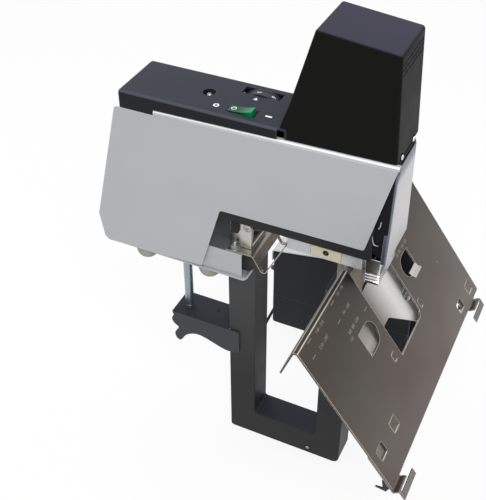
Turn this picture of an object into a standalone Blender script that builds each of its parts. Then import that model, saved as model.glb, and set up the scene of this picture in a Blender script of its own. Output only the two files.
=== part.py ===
"""Electric saddle and flat stapler with its foot pedal, modelled as separate parts.

Metres, +Z up. The origin is the middle of the frame's foot bar, on the floor.
-Y is the operator's side and +X the operator's right.
"""
import math

import bmesh
import bpy
from mathutils import Matrix, Vector

# Clearances and small shop values
GAP = 0.0003
WELD = 0.00001
OVERRUN = 0.003
ARC_STEPS = 4
ROUND_SIDES = 24
SMALL_SIDES = 14

# Steel frame: column, foot bar and post
FRAME_HALF = 0.017
COLUMN_FRONT = 0.043
COLUMN_REAR = 0.075
COLUMN_TOP = 0.2895
POST_FRONT = -0.075
POST_SHIN = -0.067
POST_STEP_TOP = 0.248
POST_STEP_FOOT = 0.236
POST_REAR = -0.036
POST_TOP = 0.2697
BAR_TOP = 0.037
FRAME_FILLET = 0.003
FRAME_TOE = 0.008
FRAME_HEEL = 0.004
FRAME_EASE = 0.0012

# Clamp bracket behind the column, its screw and pad
BRACKET_SHEET = 0.002
BRACKET_START = 0.062
BRACKET_END = 0.149
BRACKET_TOP = 0.1670
BRACKET_FOOT = 0.1220
BRACKET_SHARES = ((0, 0.27), (0, 1), (0.99, 1), (1, 0.81), (0.97, 0.57), (0.9, 0.5), (0.96, 0.23),
                  (0.9, 0), (0.845, 0.14), (0.73, 0.35), (0.62, 0.46), (0.21, 0.22))
ROD_RADIUS = 0.005
ROD_Y = 0.1345
ROD_FOOT = 0.137
ROD_TOP = 0.2350
COLLAR_RADIUS = 0.0085
COLLAR_HEIGHT = 0.006
NUT_RADIUS = 0.0095
NUT_HEIGHT = 0.009
PAD_RADIUS = 0.010
PAD_HEIGHT = 0.006

# Body: side covers, chassis plates, rear panel
COVER_HALF = 0.034
COVER_SHEET = 0.0016
COVER_FLANGE = 0.005
COVER_FRONT = -0.1016
COVER_FRONT_TOP = 0.450
COVER_STEP_Y = 0.1415
COVER_STEP_DROP = 0.006
COVER_REAR_DROP = 0.012
COVER_REAR_TOP_Y = 0.1854
COVER_HEEL = 0.2205
COVER_HEEL_Z = 0.2957
COVER_BOTTOM = 0.2630
COVER_BOTTOM_REAR = 0.2114
COVER_BEVEL = 0.0048
NOTCH_REAR = 0.0979
NOTCH_REAR_Z = 0.2670
NOTCH_FRONT = 0.0745
NOTCH_TOP = 0.3463
COVER_TOE = -0.0800
COVER_TOE_Z = 0.3478
COVER_CORNER = 0.004
CHASSIS_SHEET = 0.002
CHASSIS_FRONT = -0.0845
CHASSIS_TUCK = 0.004
CHASSIS_EDGE = 0.335
CHASSIS_NOTCH = 0.0790
CHASSIS_LOW_FRONT = 0.1010
CHASSIS_BOTTOM = 0.2670
CHASSIS_REAR_TOP = 0.176
CHASSIS_REAR_LOW = 0.206
CHASSIS_HEEL = 0.2095
REAR_TOP_Y = 0.1838
REAR_TUCK = 0.002
REAR_HEEL_Y = 0.2190
REAR_FOOT_Y = 0.2145
REAR_FOOT = 0.2690

# Base tray, bottom plate and rubber feet
TRAY_SHEET = 0.0012
TRAY_FRONT = 0.053
TRAY_TOP = 0.292
TRAY_TOP_REAR = 0.0725
TRAY_RISE_Y = 0.077
TRAY_WALL_TOP = 0.325
TRAY_REAR = 0.205
PLATE_TOP = 0.262
PLATE_SHEET = 0.002
PLATE_FRONT = 0.050
PLATE_REAR = 0.208
PLATE_LIP = 0.005
FOOT_RADIUS = 0.0125
FOOT_HEIGHT = 0.016
FOOT_X = 0.0175
FOOT_FRONT_Y = 0.0965
FOOT_REAR_Y = 0.1737

# Body mount on the column, its bolt, and the paper guard
MOUNT_HALF = 0.019
MOUNT_FRONT = 0.0465
MOUNT_REAR = 0.0710
MOUNT_WALL = 0.003
MOUNT_TOP = 0.352
BOLT_Y = 0.059
BOLT_RADIUS = 0.003
BOLT_HEAD = 0.006
BOLT_DEPTH = 0.024
GUARD_SHEET = 0.0012
GUARD_HALF = 0.028
GUARD_KNEE_Y = 0.0290
GUARD_KNEE_Z = 0.2700
GUARD_TIP_Y = 0.0050
GUARD_TIP_Z = 0.3180
GUARD_BEND = 0.003
GUARD_RAIL = 0.004
GUARD_LIP_FOOT = 0.2828
GUARD_TIP_BAR = 0.0045

# Top panel, switch and dial
PANEL_HALF = 0.0338
PANEL_FRONT = 0.0060
PANEL_REAR = 0.1830
PANEL_RISE = 0.013
PANEL_WALL = 0.0022
PANEL_EDGE = 0.0035
SWITCH_X = -0.019
SWITCH_Y = 0.056
SWITCH_HALF = 0.0065
SWITCH_LENGTH = 0.030
SWITCH_WALL = 0.0012
SWITCH_DEPTH = 0.025
ROCKER_HALF = 0.0049
ROCKER_REACH = 0.0128
ROCKER_AXIS_DEPTH = 0.005
ROCKER_TOP = 0.0068
ROCKER_EDGE_TOP = 0.0080
ROCKER_EDGE_LOW = 0.0012
ROCKER_KEEL = 0.0080
ROCKER_TILT = 8
DIAL_RADIUS = 0.030
DIAL_LEFT = 0.0130
DIAL_WIDTH = 0.011
DIAL_Y = 0.052
DIAL_PROUD = 0.0015
DIAL_SLOT_SIDE = 0.001
DIAL_SLOT_LENGTH = 0.040
DIAL_SHAFT = 0.003
POT_RADIUS = 0.010
POT_LENGTH = 0.0115
POT_FOOT = 0.008
RECESS_RADIUS = 0.0065
RECESS_Y = 0.100
RECESS_DEPTH = 0.0012
BOARD_DROP = 0.041
BOARD_SHEET = 0.0016
BOARD_FRONT = 0.020
BOARD_REAR = 0.125
BOARD_PART_HEIGHT = 0.022

# Head cover
HEAD_HALF = 0.0315
HEAD_WALL = 0.0022
HEAD_FRONT = -0.0990
HEAD_FRONT_TOP_Y = -0.0924
HEAD_FRONT_RISE = 0.1018
HEAD_REAR_TOP_Y = -0.0169
HEAD_REAR_RISE = 0.1097
HEAD_WAIST_Y = 0.0045
HEAD_WAIST_RISE = 0.027
HEAD_SKIRT_Y = 0.0136
HEAD_CROWN = 0.006
HEAD_SIDE_EDGE = 0.0025
HEAD_FILLET = 0.012
VENT_COUNT = 3
VENT_PITCH = 0.0062
VENT_HEIGHT = 0.0024
VENT_DEPTH = 0.0010
VENT_DROP = 0.0058

# Front guard
PLATE_FACE = -0.1000
FRONT_SHEET = 0.0015
FRONT_TUCK = 0.008
FRONT_BOTTOM = 0.336
FRONT_TOP_HALF = 0.026
FRONT_BOTTOM_HALF = 0.033
FRONT_FLANGE = 0.006

# Solenoid and driver
DRIVE_Y = -0.0595
BRACKET_PLATE = 0.006
BRACKET_PLATE_REAR = -0.030
FRONT_BLOCK_HALF = 0.024
FRONT_BLOCK_TUCK = 0.004
YOKE_HALF = 0.028
YOKE_WALL = 0.004
YOKE_REACH = 0.024
YOKE_HEADROOM = 0.0118
COIL_RADIUS = 0.023
COIL_BORE = 0.0112
COIL_FLANGE = 0.003
COIL_WAIST = 0.0015
STOP_RADIUS = 0.0106
STOP_HEIGHT = 0.0135
PLUNGER_RADIUS = 0.0104
PLUNGER_LIFT = 0.0172
PLUNGER_PROUD = 0.008
PUSH_ROD = 0.004
PUSH_ROD_PLAY = 0.0006
HAMMER_DROP = 0.034
HAMMER_HEIGHT = 0.028
HAMMER_HALF = 0.0125
HAMMER_REACH = 0.010
BLADE_HALF = 0.0064
BLADE_HALF_SHEET = 0.0007
BLADE_FOOT = 0.3361
SPRING_BORE = 0.0072
SPRING_RADIUS = 0.0084

# Magazine, its guide, latch and grip
GUIDE_TOP = 0.3375
GUIDE_CEILING = 0.3340
GUIDE_HALF = 0.0285
GUIDE_WALL = 0.0012
GUIDE_LIP = 0.0065
GUIDE_FOOT = 0.3188
GUIDE_LIP_SHEET = 0.0010
GUIDE_FRONT = -0.0750
GUIDE_REAR = 0.0030
WINDOW_FRONT = -0.0540
WINDOW_REAR = -0.0220
MAGAZINE_HALF = 0.0257
MAGAZINE_FRONT = -0.0780
MAGAZINE_REAR = 0.0010
CHANNEL_HALF = 0.0069
CHANNEL_WALL = 0.0014
CHANNEL_FRONT = -0.0610
CHANNEL_REAR = -0.0020
CHANNEL_FLOOR = 0.3226
RAIL_TOP = 0.3292
STRIP_SHEET = 0.0006
STRIP_PLAY = 0.0003
STRIP_FRONT = -0.0583
STRIP_REAR = -0.0340
PUSHER_LENGTH = 0.008
PUSHER_TOP = 0.3334
LATCH_OUT = 0.0287
LATCH_HOLE = 0.0022
GRIP_HALF = 0.026
GRIP_FRONT = -0.0930
GRIP_FOOT = 0.3030
GROOVE_COUNT = 3
GROOVE_PITCH = 0.0036
GROOVE_DEPTH = 0.0012
GROOVE_FIRST = 0.0030

# Anvil and hinge pin
HOLDER_HALF = 0.014
HOLDER_FRONT = -0.0745
HOLDER_REAR = -0.0460
HOLDER_TOP = 0.3084
ANVIL_HALF = 0.012
ANVIL_FRONT = -0.0700
ANVIL_REAR = -0.0490
ANVIL_HEIGHT = 0.005
CLINCH_HALF_LENGTH = 0.0032
CLINCH_HALF_WIDTH = 0.0010
CLINCH_DEPTH = 0.0010
CLINCH_X = 0.0040
PIN_RADIUS = 0.0025
PIN_Z = 0.3030
PIN_LEFT = -0.0400
PIN_RIGHT = 0.0450

# Saddle table
TABLE_HALF = 0.155
TABLE_SHEET = 0.002
TABLE_SLOPE = 53.2
TABLE_LENGTH = 0.170
RIDGE_Y = -0.0620
RIDGE_Z = 0.3150
CROWN_WIDTH = 0.005
CROWN_BEND = 0.0022
FLAP_LENGTH = 0.034
FLAP_SLOPE = 69
OPENING_LEFT = -0.031
OPENING_RIGHT = 0.036
OPENING_LOW = 0.1095
OPENING_CHAMFER = 0.006
EAR_SHEET = 0.003
EAR_GAP = 0.0025
EAR_RADIUS = 0.0055
D_HOLES = ((-0.0740, -0.0485), (0.0520, 0.0800))
D_TOP = 0.0510
D_LOW = 0.0760
TAB_HEIGHT = 0.007
TAB_SHEET = 0.0015
TAB_MARGIN = 0.004
LANCES = ((-0.0470, -0.0400, 0.0960, 0.1060), (0.0400, 0.0470, 0.0960, 0.1060),
          (-0.1080, -0.0940, 0.1310, 0.1440), (-0.1445, -0.1300, 0.1310, 0.1440),
          (0.1330, 0.1470, 0.1490, 0.1620), (0.0980, 0.1125, 0.1500, 0.1620))
LANCE_CORNER = 0.0015

# Support plate under the table
SUPPORT_SHEET = 0.0015
SUPPORT_DEPTH = 0.006
SUPPORT_LEFT = -0.034
SUPPORT_RIGHT = 0.050
SUPPORT_START = 0.0325
SUPPORT_END = 0.118
SUPPORT_NICK = 0.077
SUPPORT_NICK_X = -0.008
SUPPORT_TAIL_X = 0.034
SUPPORT_CORNER = 0.007
SUPPORT_HOLE = 0.009
SUPPORT_HOLE_X = 0.040
SUPPORT_HOLE_V = 0.082
SUPPORT_FLANGE_FOOT = 0.2620

# Paper stops
STOPS = (("paper_stop_left", -0.1555, -0.1215), ("paper_stop_right", 0.1080, 0.1400))
STOP_SHEET = 0.0015
STOP_START = 0.128
STOP_WALL = 0.1738
STOP_PROUD = 0.007
STOP_LEDGE = 0.0148

# Foot pedal
PEDAL_X = 0.227
PEDAL_HALF = 0.054
PEDAL_WALL = 0.003
PEDAL_FLOOR = 0.004
PEDAL_FRONT = -0.088
PEDAL_REAR = 0.104
PEDAL_SILL = 0.014
PEDAL_CHEEK = 0.088
PEDAL_JAW_Y = -0.060
PEDAL_JAW = 0.112
PEDAL_BROW_Y = -0.041
PEDAL_BROW = 0.140
PEDAL_CROWN_Y = -0.006
PEDAL_CROWN = 0.146
PEDAL_BACK = 0.127
CREASE_Z = 0.051
CREASE_HEIGHT = 0.0012
CREASE_DEPTH = 0.0006
HOOD_SHEET = 0.0015
HOOD_LIFT = 0.0023
HOOD_BACK_FOOT = 0.112
HOOD_HALF = 0.0545
HOOD_LIP_HALF = 0.061
HOOD_NOSE_Y = -0.0475
HOOD_NOSE = 0.1345
TREADLE_AXIS_Y = 0.060
TREADLE_AXIS_Z = 0.022
TREADLE_REAR = 0.068
TREADLE_FRONT = -0.070
TREADLE_REAR_LOW = 0.016
TREADLE_REAR_TOP = 0.030
TREADLE_FRONT_LOW = 0.040
TREADLE_FRONT_TOP = 0.052
TREADLE_PLAY = 0.0015
TREADLE_HUB = 0.0075
RIB_COUNT = 9
RIB_HEIGHT = 0.0012
RIB_PITCH = 0.006
PEDAL_PIN = 0.003
PEDAL_SPRING_Y = -0.020
PEDAL_SPRING_RADIUS = 0.0075
PEDAL_SPRING_BORE = 0.006
PEDAL_SPRING_TOP = 0.0296
SWITCH_BOX_HALF = 0.014
SWITCH_BOX_FRONT = 0.005
SWITCH_BOX_REAR = 0.035
SWITCH_BOX_TOP = 0.0178

# Cords: glands, leads, coils and plug
LEAD_X = 0.0243
MAINS_Y = 0.0605
PEDAL_LEAD_Y = 0.0735
MAINS_RADIUS = 0.0035
PEDAL_LEAD_RADIUS = 0.002
MAINS_GLAND_LENGTH = 0.035
PEDAL_GLAND_LENGTH = 0.022
GLAND_FLANGE = 0.003
COIL_SPACE = 0.0008
COIL_LOOP_POINTS = 24
MAINS_COIL_X = 0.092
MAINS_COIL_Y = -0.078
MAINS_COIL_MEAN = 0.0385
MAINS_COIL_TURNS = 5.5
PEDAL_COIL_X = 0.318
PEDAL_COIL_Y = 0.126
PEDAL_COIL_MEAN = 0.022
PEDAL_COIL_TURNS = 6.0
LEAD_POINTS = 32
PLUG_Y = -0.020
PLUG_RADIUS = 0.0185
PLUG_LENGTH = 0.036
PLUG_NECK = 0.010
PLUG_PIN_RADIUS = 0.0024
PLUG_PIN_LENGTH = 0.019
PLUG_PIN_SPREAD = 0.0095
PEDAL_GLAND_X = 0.255
PEDAL_GLAND_Z = 0.020
PEDAL_GLAND_REACH = 0.012
# Points of each free lead between its ends, chosen along the floor behind and beside the frame
MAINS_ROUTE = ((0.0243, 0.0605, 0.180), (0.0243, 0.0605, 0.120), (0.0243, 0.0604, 0.060),
               (0.0247, 0.0570, 0.030), (0.0256, 0.0470, 0.0115), (0.0275, 0.0310, 0.0043),
               (0.0300, 0.0130, 0.0038), (0.0335, -0.0060, 0.0038), (0.0375, -0.0250, 0.0038),
               (0.0410, -0.0430, 0.0038), (0.0425, -0.0520, 0.0038))
PEDAL_ROUTE = ((0.0243, 0.0735, 0.180), (0.0243, 0.0735, 0.110), (0.0244, 0.0735, 0.050),
               (0.0262, 0.0737, 0.022), (0.0335, 0.0748, 0.0065), (0.0500, 0.0785, 0.0024),
               (0.0900, 0.0940, 0.0023), (0.1350, 0.1060, 0.0023), (0.1800, 0.1105, 0.0023),
               (0.2250, 0.1115, 0.0023), (0.2600, 0.1115, 0.0023), (0.2780, 0.1130, 0.0023))
MAINS_TAIL = ((0.0, 0.012, 0.0), (0.0, 0.026, 0.0022), (0.0, 0.040, 0.0058))
PEDAL_TAIL = ((-0.0012, 0.0100, -0.0008), (-0.0080, 0.0200, -0.0020), (-0.0190, 0.0215, 0.0010),
              (-0.0290, 0.0150, 0.0080), (-0.0338, 0.0060, 0.0122))

# Worked out from the sizes above
COVER_INNER = COVER_HALF - COVER_SHEET
CHASSIS_OUTER = COVER_INNER - 2 * GAP
CHASSIS_INNER = CHASSIS_OUTER - CHASSIS_SHEET
INNER_HALF = CHASSIS_INNER - GAP
CABLE_GAP = GAP
COVER_STEP_TOP = COVER_FRONT_TOP - COVER_STEP_DROP
COVER_REAR_TOP = COVER_FRONT_TOP - COVER_REAR_DROP
CHASSIS_TOP = COVER_REAR_TOP - CHASSIS_TUCK
REAR_TOP = COVER_REAR_TOP - REAR_TUCK
FRONT_TOP = COVER_FRONT_TOP - FRONT_TUCK
FRONT_BLOCK_TOP = COVER_FRONT_TOP - FRONT_BLOCK_TUCK
HEAD_FRONT_TOP = COVER_FRONT_TOP + HEAD_FRONT_RISE
HEAD_REAR_TOP = COVER_FRONT_TOP + HEAD_REAR_RISE
VENT_TOP = HEAD_FRONT_TOP - VENT_DROP
YOKE_TOP = HEAD_FRONT_TOP - YOKE_HEADROOM
PLUNGER_FOOT = CHASSIS_TOP + GAP + YOKE_WALL + STOP_HEIGHT + PLUNGER_LIFT
PLUNGER_TOP = YOKE_TOP + PLUNGER_PROUD
HAMMER_TOP = CHASSIS_TOP - HAMMER_DROP
HAMMER_FOOT = HAMMER_TOP - HAMMER_HEIGHT
PANEL_TOP = COVER_STEP_TOP + PANEL_RISE
HEAD_SKIRT = PANEL_TOP + GAP
HEAD_WAIST = PANEL_TOP + HEAD_WAIST_RISE
SWITCH_BOTTOM = PANEL_TOP - SWITCH_DEPTH
ROCKER_AXIS_Z = PANEL_TOP - ROCKER_AXIS_DEPTH
BOARD_Z = CHASSIS_TOP - BOARD_DROP
MAGAZINE_TOP = GUIDE_CEILING - GAP
MAGAZINE_FOOT = GUIDE_FOOT + GUIDE_LIP_SHEET + GAP
DIAL_Z = PANEL_TOP + DIAL_PROUD - DIAL_RADIUS
SLOPE = math.radians(TABLE_SLOPE)
DOWN = Vector((0, -math.cos(SLOPE), -math.sin(SLOPE)))
INWARD = Vector((0, math.sin(SLOPE), -math.cos(SLOPE)))
RIDGE = Vector((0, RIDGE_Y, RIDGE_Z))

PARTS = bpy.data.collections.new("electric_stapler")
CUTTERS = bpy.data.collections.new("cutters")
ALONG_X = Matrix(((0, 0, 1), (1, 0, 0), (0, 1, 0))).to_4x4()
ALONG_Y = Matrix(((1, 0, 0), (0, 0, -1), (0, 1, 0))).to_4x4()
ALONG_Z = Matrix.Identity(4)
IN_TABLE = Matrix.Translation(RIDGE) @ Matrix((Vector((1, 0, 0)), DOWN, INWARD)).transposed().to_4x4()
STOP_PLACING = Matrix.Translation(RIDGE) @ Matrix((DOWN, -INWARD, Vector((-1, 0, 0)))).transposed().to_4x4()


def finish(name, colour, roughness, metallic=0.0):
    """A plain material of one colour."""
    material = bpy.data.materials.new(name)
    material.use_nodes = True
    shader = material.node_tree.nodes["Principled BSDF"]
    shader.inputs["Base Color"].default_value = (*colour, 1)
    shader.inputs["Roughness"].default_value = roughness
    shader.inputs["Metallic"].default_value = metallic
    material.diffuse_color = (*colour, 1)
    return material


FRAME_BLACK = finish("frame_black", (0.035, 0.035, 0.038), 0.5)
COVER_SILVER = finish("cover_silver", (0.50, 0.50, 0.51), 0.42)
BRIGHT_STEEL = finish("bright_steel", (0.62, 0.62, 0.63), 0.28, 1.0)
BROWN_STEEL = finish("brushed_steel", (0.33, 0.30, 0.28), 0.34, 1.0)
ZINC = finish("zinc", (0.58, 0.62, 0.66), 0.35, 1.0)
PANEL_PLASTIC = finish("panel_plastic", (0.065, 0.067, 0.082), 0.55)
HEAD_PLASTIC = finish("head_plastic", (0.022, 0.022, 0.024), 0.4)
RUBBER = finish("grey_rubber", (0.35, 0.34, 0.32), 0.8)
GREEN = finish("switch_green", (0.02, 0.30, 0.16), 0.3)
CREAM = finish("cream_plastic", (0.72, 0.66, 0.50), 0.5)
LIGHT_GREY = finish("light_grey", (0.55, 0.56, 0.58), 0.45)
COPPER = finish("copper_winding", (0.42, 0.16, 0.06), 0.4, 1.0)
BOARD_GREEN = finish("board_green", (0.02, 0.14, 0.06), 0.5)
PEDAL_BLACK = finish("pedal_black", (0.03, 0.03, 0.033), 0.6)
TREADLE_GREY = finish("treadle_grey", (0.50, 0.50, 0.50), 0.6)
CORD_BLACK = finish("cord_black", (0.015, 0.015, 0.016), 0.6)


def show(name, mesh, placing, material):
    """Puts a mesh in the scene: as a part if it has a material, else as a cutter or a helper."""
    piece = bpy.data.objects.new(name, mesh)
    piece.matrix_world = placing
    if material is None:
        CUTTERS.objects.link(piece)
        piece.hide_render = True
        piece.display_type = "WIRE"
    else:
        mesh.materials.append(material)
        PARTS.objects.link(piece)
    return piece


def mesh_from(shape, name):
    mesh = bpy.data.meshes.new(name)
    shape.to_mesh(mesh)
    shape.free()
    return mesh


def block(name, x, y, z, material=None):
    """A box between two values on each axis."""
    shape = bmesh.new()
    bmesh.ops.create_cube(shape, size=1)
    middle = [(low + high) / 2 for low, high in (x, y, z)]
    bmesh.ops.scale(shape, vec=[high - low for low, high in (x, y, z)], verts=shape.verts)
    return show(name, mesh_from(shape, name), Matrix.Translation(middle), material)


def rod(name, radius, placing, centre, low, high, material=None, sides=ROUND_SIDES, far_radius=None):
    """A cylinder or cone along the placing's third axis."""
    shape = bmesh.new()
    end_radius = radius if far_radius is None else far_radius
    bmesh.ops.create_cone(shape, cap_ends=True, segments=sides, radius1=radius, radius2=end_radius,
                          depth=high - low)
    bmesh.ops.translate(shape, vec=(centre[0], centre[1], (low + high) / 2), verts=shape.verts)
    mesh = mesh_from(shape, name)
    if sides > SMALL_SIDES:
        mesh.shade_smooth()
        mesh.set_sharp_from_angle(angle=math.radians(40))
    return show(name, mesh, placing, material)


def outline_mesh(name, outlines, thickness):
    """A flat 2D curve with thickness, made a closed mesh."""
    curve = bpy.data.curves.new(name, "CURVE")
    curve.dimensions = "2D"
    curve.fill_mode = "BOTH"
    curve.extrude = thickness / 2
    for outline in outlines:
        spline = curve.splines.new("POLY")
        spline.points.add(len(outline) - 1)
        for point, (across, up) in zip(spline.points, outline):
            point.co = (across, up, 0, 1)
        spline.use_cyclic_u = True
    drawn = bpy.data.objects.new(name, curve)
    bpy.context.scene.collection.objects.link(drawn)
    evaluated = drawn.evaluated_get(bpy.context.evaluated_depsgraph_get())
    mesh = bpy.data.meshes.new_from_object(evaluated)
    bpy.data.objects.remove(drawn)
    bpy.data.curves.remove(curve)
    shape = bmesh.new()
    shape.from_mesh(mesh)
    bmesh.ops.remove_doubles(shape, verts=shape.verts, dist=WELD)
    bmesh.ops.recalc_face_normals(shape, faces=shape.faces)
    shape.to_mesh(mesh)
    shape.free()
    mesh.materials.clear()
    return mesh


def plate(name, outlines, placing, low, high, material=None):
    """Flat outlines given thickness from low to high along the placing's third axis."""
    mesh = outline_mesh(name, outlines, high - low)
    return show(name, mesh, placing @ Matrix.Translation((0, 0, (low + high) / 2)), material)


def arc_at(before, here, after, radius):
    """The arc that rounds one corner of an outline."""
    corner = Vector(here)
    back = (Vector(before) - corner).normalized()
    ahead = (Vector(after) - corner).normalized()
    half = back.angle(ahead) / 2
    centre = corner + (back + ahead).normalized() * radius / math.sin(half)
    start = corner + back * radius / math.tan(half) - centre
    end = corner + ahead * radius / math.tan(half) - centre
    sweep = start.angle(end)
    points = []
    for step in range(ARC_STEPS + 1):
        share = step / ARC_STEPS
        spoke = start * math.sin((1 - share) * sweep) + end * math.sin(share * sweep)
        points.append(tuple(centre + spoke / math.sin(sweep)))
    return points


def rounded(corners, closed=True):
    """An outline from corners (across, up) or (across, up, radius)."""
    outline = []
    for index, corner in enumerate(corners):
        ending = not closed and index in (0, len(corners) - 1)
        if len(corner) < 3 or ending:
            outline.append(tuple(corner[:2]))
            continue
        before = corners[index - 1][:2]
        after = corners[(index + 1) % len(corners)][:2]
        outline.extend(arc_at(before, corner[:2], after, corner[2]))
    return outline


def beside(path, offset):
    """The path moved sideways, to its left for a positive offset."""
    points = [Vector(point) for point in path]
    moved = []
    for index, point in enumerate(points):
        sides = []
        if index:
            sides.append((point - points[index - 1]).normalized())
        if index < len(points) - 1:
            sides.append((points[index + 1] - point).normalized())
        normals = [Vector((-side.y, side.x)) for side in sides]
        middle = sum(normals, Vector((0, 0))).normalized()
        moved.append(tuple(point + middle * offset / middle.dot(normals[0])))
    return moved


def bent_sheet(name, path, thickness, low, high, material=None, placing=ALONG_X):
    """A bent sheet: a path given thickness to its left, across the whole width."""
    outline = list(path) + beside(path, thickness)[::-1]
    return plate(name, [outline], placing, low, high, material)


def lathe(name, profile, placing, material=None, closed=False, steps=ROUND_SIDES):
    """A turned piece: a profile of (radius, height) from the top down, spun about the third axis."""
    shape = bmesh.new()
    verts = [shape.verts.new((radius, 0, height)) for radius, height in profile]
    for first, second in zip(verts, verts[1:]):
        shape.edges.new((first, second))
    if closed:
        shape.edges.new((verts[-1], verts[0]))
    piece = show(name, mesh_from(shape, name), placing, material)
    screw = piece.modifiers.new("turn", "SCREW")
    screw.steps = steps
    screw.render_steps = steps
    screw.use_merge_vertices = True
    screw.merge_threshold = WELD
    screw.use_smooth_shade = False
    return piece


def boolean(piece, tool, operation):
    step = piece.modifiers.new(operation.lower(), "BOOLEAN")
    step.operation = operation
    step.solver = "EXACT"
    step.object = tool
    return piece


def cut(piece, *tools):
    for tool in tools:
        boolean(piece, tool, "DIFFERENCE")
    return piece


def fuse(piece, *tools):
    for tool in tools:
        boolean(piece, tool, "UNION")
    return piece


def ease(piece, width, segments=2, angle=40):
    """Rounds the edges that are sharper than the angle."""
    step = piece.modifiers.new("eased_edges", "BEVEL")
    step.width = width
    step.segments = segments
    step.limit_method = "ANGLE"
    step.angle_limit = math.radians(angle)
    step.harden_normals = False
    return piece


def axis_empty(name, place):
    """An empty on a joint's axis, which carries the pieces that move with it."""
    empty = bpy.data.objects.new(name, None)
    empty.location = place
    empty.empty_display_size = FRAME_HALF
    PARTS.objects.link(empty)
    return empty


def hang(empty, *pieces):
    bpy.context.view_layer.update()
    for piece in pieces:
        world = piece.matrix_world.copy()
        piece.parent = empty
        piece.matrix_parent_inverse = empty.matrix_world.inverted()
        piece.matrix_world = world


def spread(shares, low_y, high_y, low_z, high_z):
    """Shares of a length and a height, as real places."""
    return [(low_y + along * (high_y - low_y), low_z + up * (high_z - low_z)) for along, up in shares]


def c_frame():
    outline = rounded([
        (COLUMN_REAR, 0, FRAME_HEEL), (COLUMN_REAR, COLUMN_TOP), (COLUMN_FRONT, COLUMN_TOP),
        (COLUMN_FRONT, BAR_TOP, FRAME_FILLET), (POST_REAR, BAR_TOP, FRAME_FILLET),
        (POST_REAR, POST_TOP), (POST_FRONT, POST_TOP), (POST_FRONT, POST_STEP_TOP),
        (POST_SHIN, POST_STEP_FOOT), (POST_SHIN, 0, FRAME_TOE)])
    frame = plate("c_frame", [outline], ALONG_X, -FRAME_HALF, FRAME_HALF, FRAME_BLACK)
    ease(frame, FRAME_EASE, segments=1)
    hole = rod("column_bolt_hole", BOLT_RADIUS + GAP, ALONG_Z, (0, BOLT_Y),
               COLUMN_TOP - BOLT_DEPTH, COLUMN_TOP + OVERRUN, sides=SMALL_SIDES)
    return cut(frame, hole)


def clamp():
    half = FRAME_HALF + GAP + BRACKET_SHEET
    inner = FRAME_HALF + GAP
    outline = spread(BRACKET_SHARES, BRACKET_START, BRACKET_END, BRACKET_FOOT, BRACKET_TOP)
    bracket = plate("clamp_bracket", [outline], ALONG_X, -half, half, FRAME_BLACK)
    hollow = block("bracket_hollow", (-inner, inner), (BRACKET_START - OVERRUN, BRACKET_END - BRACKET_SHEET),
                   (BRACKET_FOOT - OVERRUN, BRACKET_TOP - BRACKET_SHEET))
    mouth = block("bracket_mouth", (-inner, inner), (BRACKET_START - OVERRUN, COLUMN_REAR + GAP),
                  (BRACKET_FOOT - OVERRUN, BRACKET_TOP + OVERRUN))
    cut(bracket, hollow, mouth)
    collar = rod("bracket_collar", COLLAR_RADIUS, ALONG_Z, (0, ROD_Y),
                 BRACKET_TOP - BRACKET_SHEET / 2, BRACKET_TOP + COLLAR_HEIGHT)
    nut = rod("bracket_nut", NUT_RADIUS, ALONG_Z, (0, ROD_Y),
              BRACKET_TOP - BRACKET_SHEET - NUT_HEIGHT, BRACKET_TOP - BRACKET_SHEET / 2, sides=6)
    fuse(bracket, collar, nut)
    bore = rod("bracket_bore", ROD_RADIUS + GAP, ALONG_Z, (0, ROD_Y),
               BRACKET_FOOT, BRACKET_TOP + COLLAR_HEIGHT + OVERRUN)
    cut(bracket, bore)
    screw = rod("clamp_screw", ROD_RADIUS, ALONG_Z, (0, ROD_Y), ROD_FOOT, ROD_TOP, ZINC)
    pad = lathe("clamp_pad", [
        (0, ROD_TOP + GAP + PAD_HEIGHT), (PAD_RADIUS - GAP, ROD_TOP + GAP + PAD_HEIGHT),
        (PAD_RADIUS, ROD_TOP + PAD_HEIGHT), (PAD_RADIUS, ROD_TOP + PAD_HEIGHT / 2),
        (COLLAR_RADIUS, ROD_TOP + GAP), (0, ROD_TOP + GAP)], Matrix.Translation((0, ROD_Y, 0)), ZINC)
    hang(axis_empty("clamp_axis", (0, ROD_Y, ROD_TOP)), screw, pad)


def cover_outline():
    return rounded([
        (COVER_REAR_TOP_Y, COVER_REAR_TOP, COVER_CORNER), (COVER_STEP_Y, COVER_REAR_TOP),
        (COVER_STEP_Y, COVER_STEP_TOP), (COVER_FRONT, COVER_FRONT_TOP, COVER_SHEET),
        (COVER_TOE, COVER_TOE_Z, COVER_CORNER), (NOTCH_FRONT, NOTCH_TOP, COVER_CORNER),
        (NOTCH_REAR, NOTCH_REAR_Z, COVER_CORNER / 2), (COVER_BOTTOM_REAR, COVER_BOTTOM),
        (COVER_BOTTOM_REAR + COVER_BEVEL, COVER_BOTTOM + COVER_BEVEL), (COVER_HEEL, COVER_HEEL_Z)])


def cover_top_line(lift):
    """The line along the top of the side covers, raised by a gap."""
    return [(COVER_REAR_TOP_Y + OVERRUN, COVER_REAR_TOP + lift), (COVER_STEP_Y + lift, COVER_REAR_TOP + lift),
            (COVER_STEP_Y + lift, COVER_STEP_TOP + lift), (COVER_FRONT, COVER_FRONT_TOP + lift)]


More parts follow.
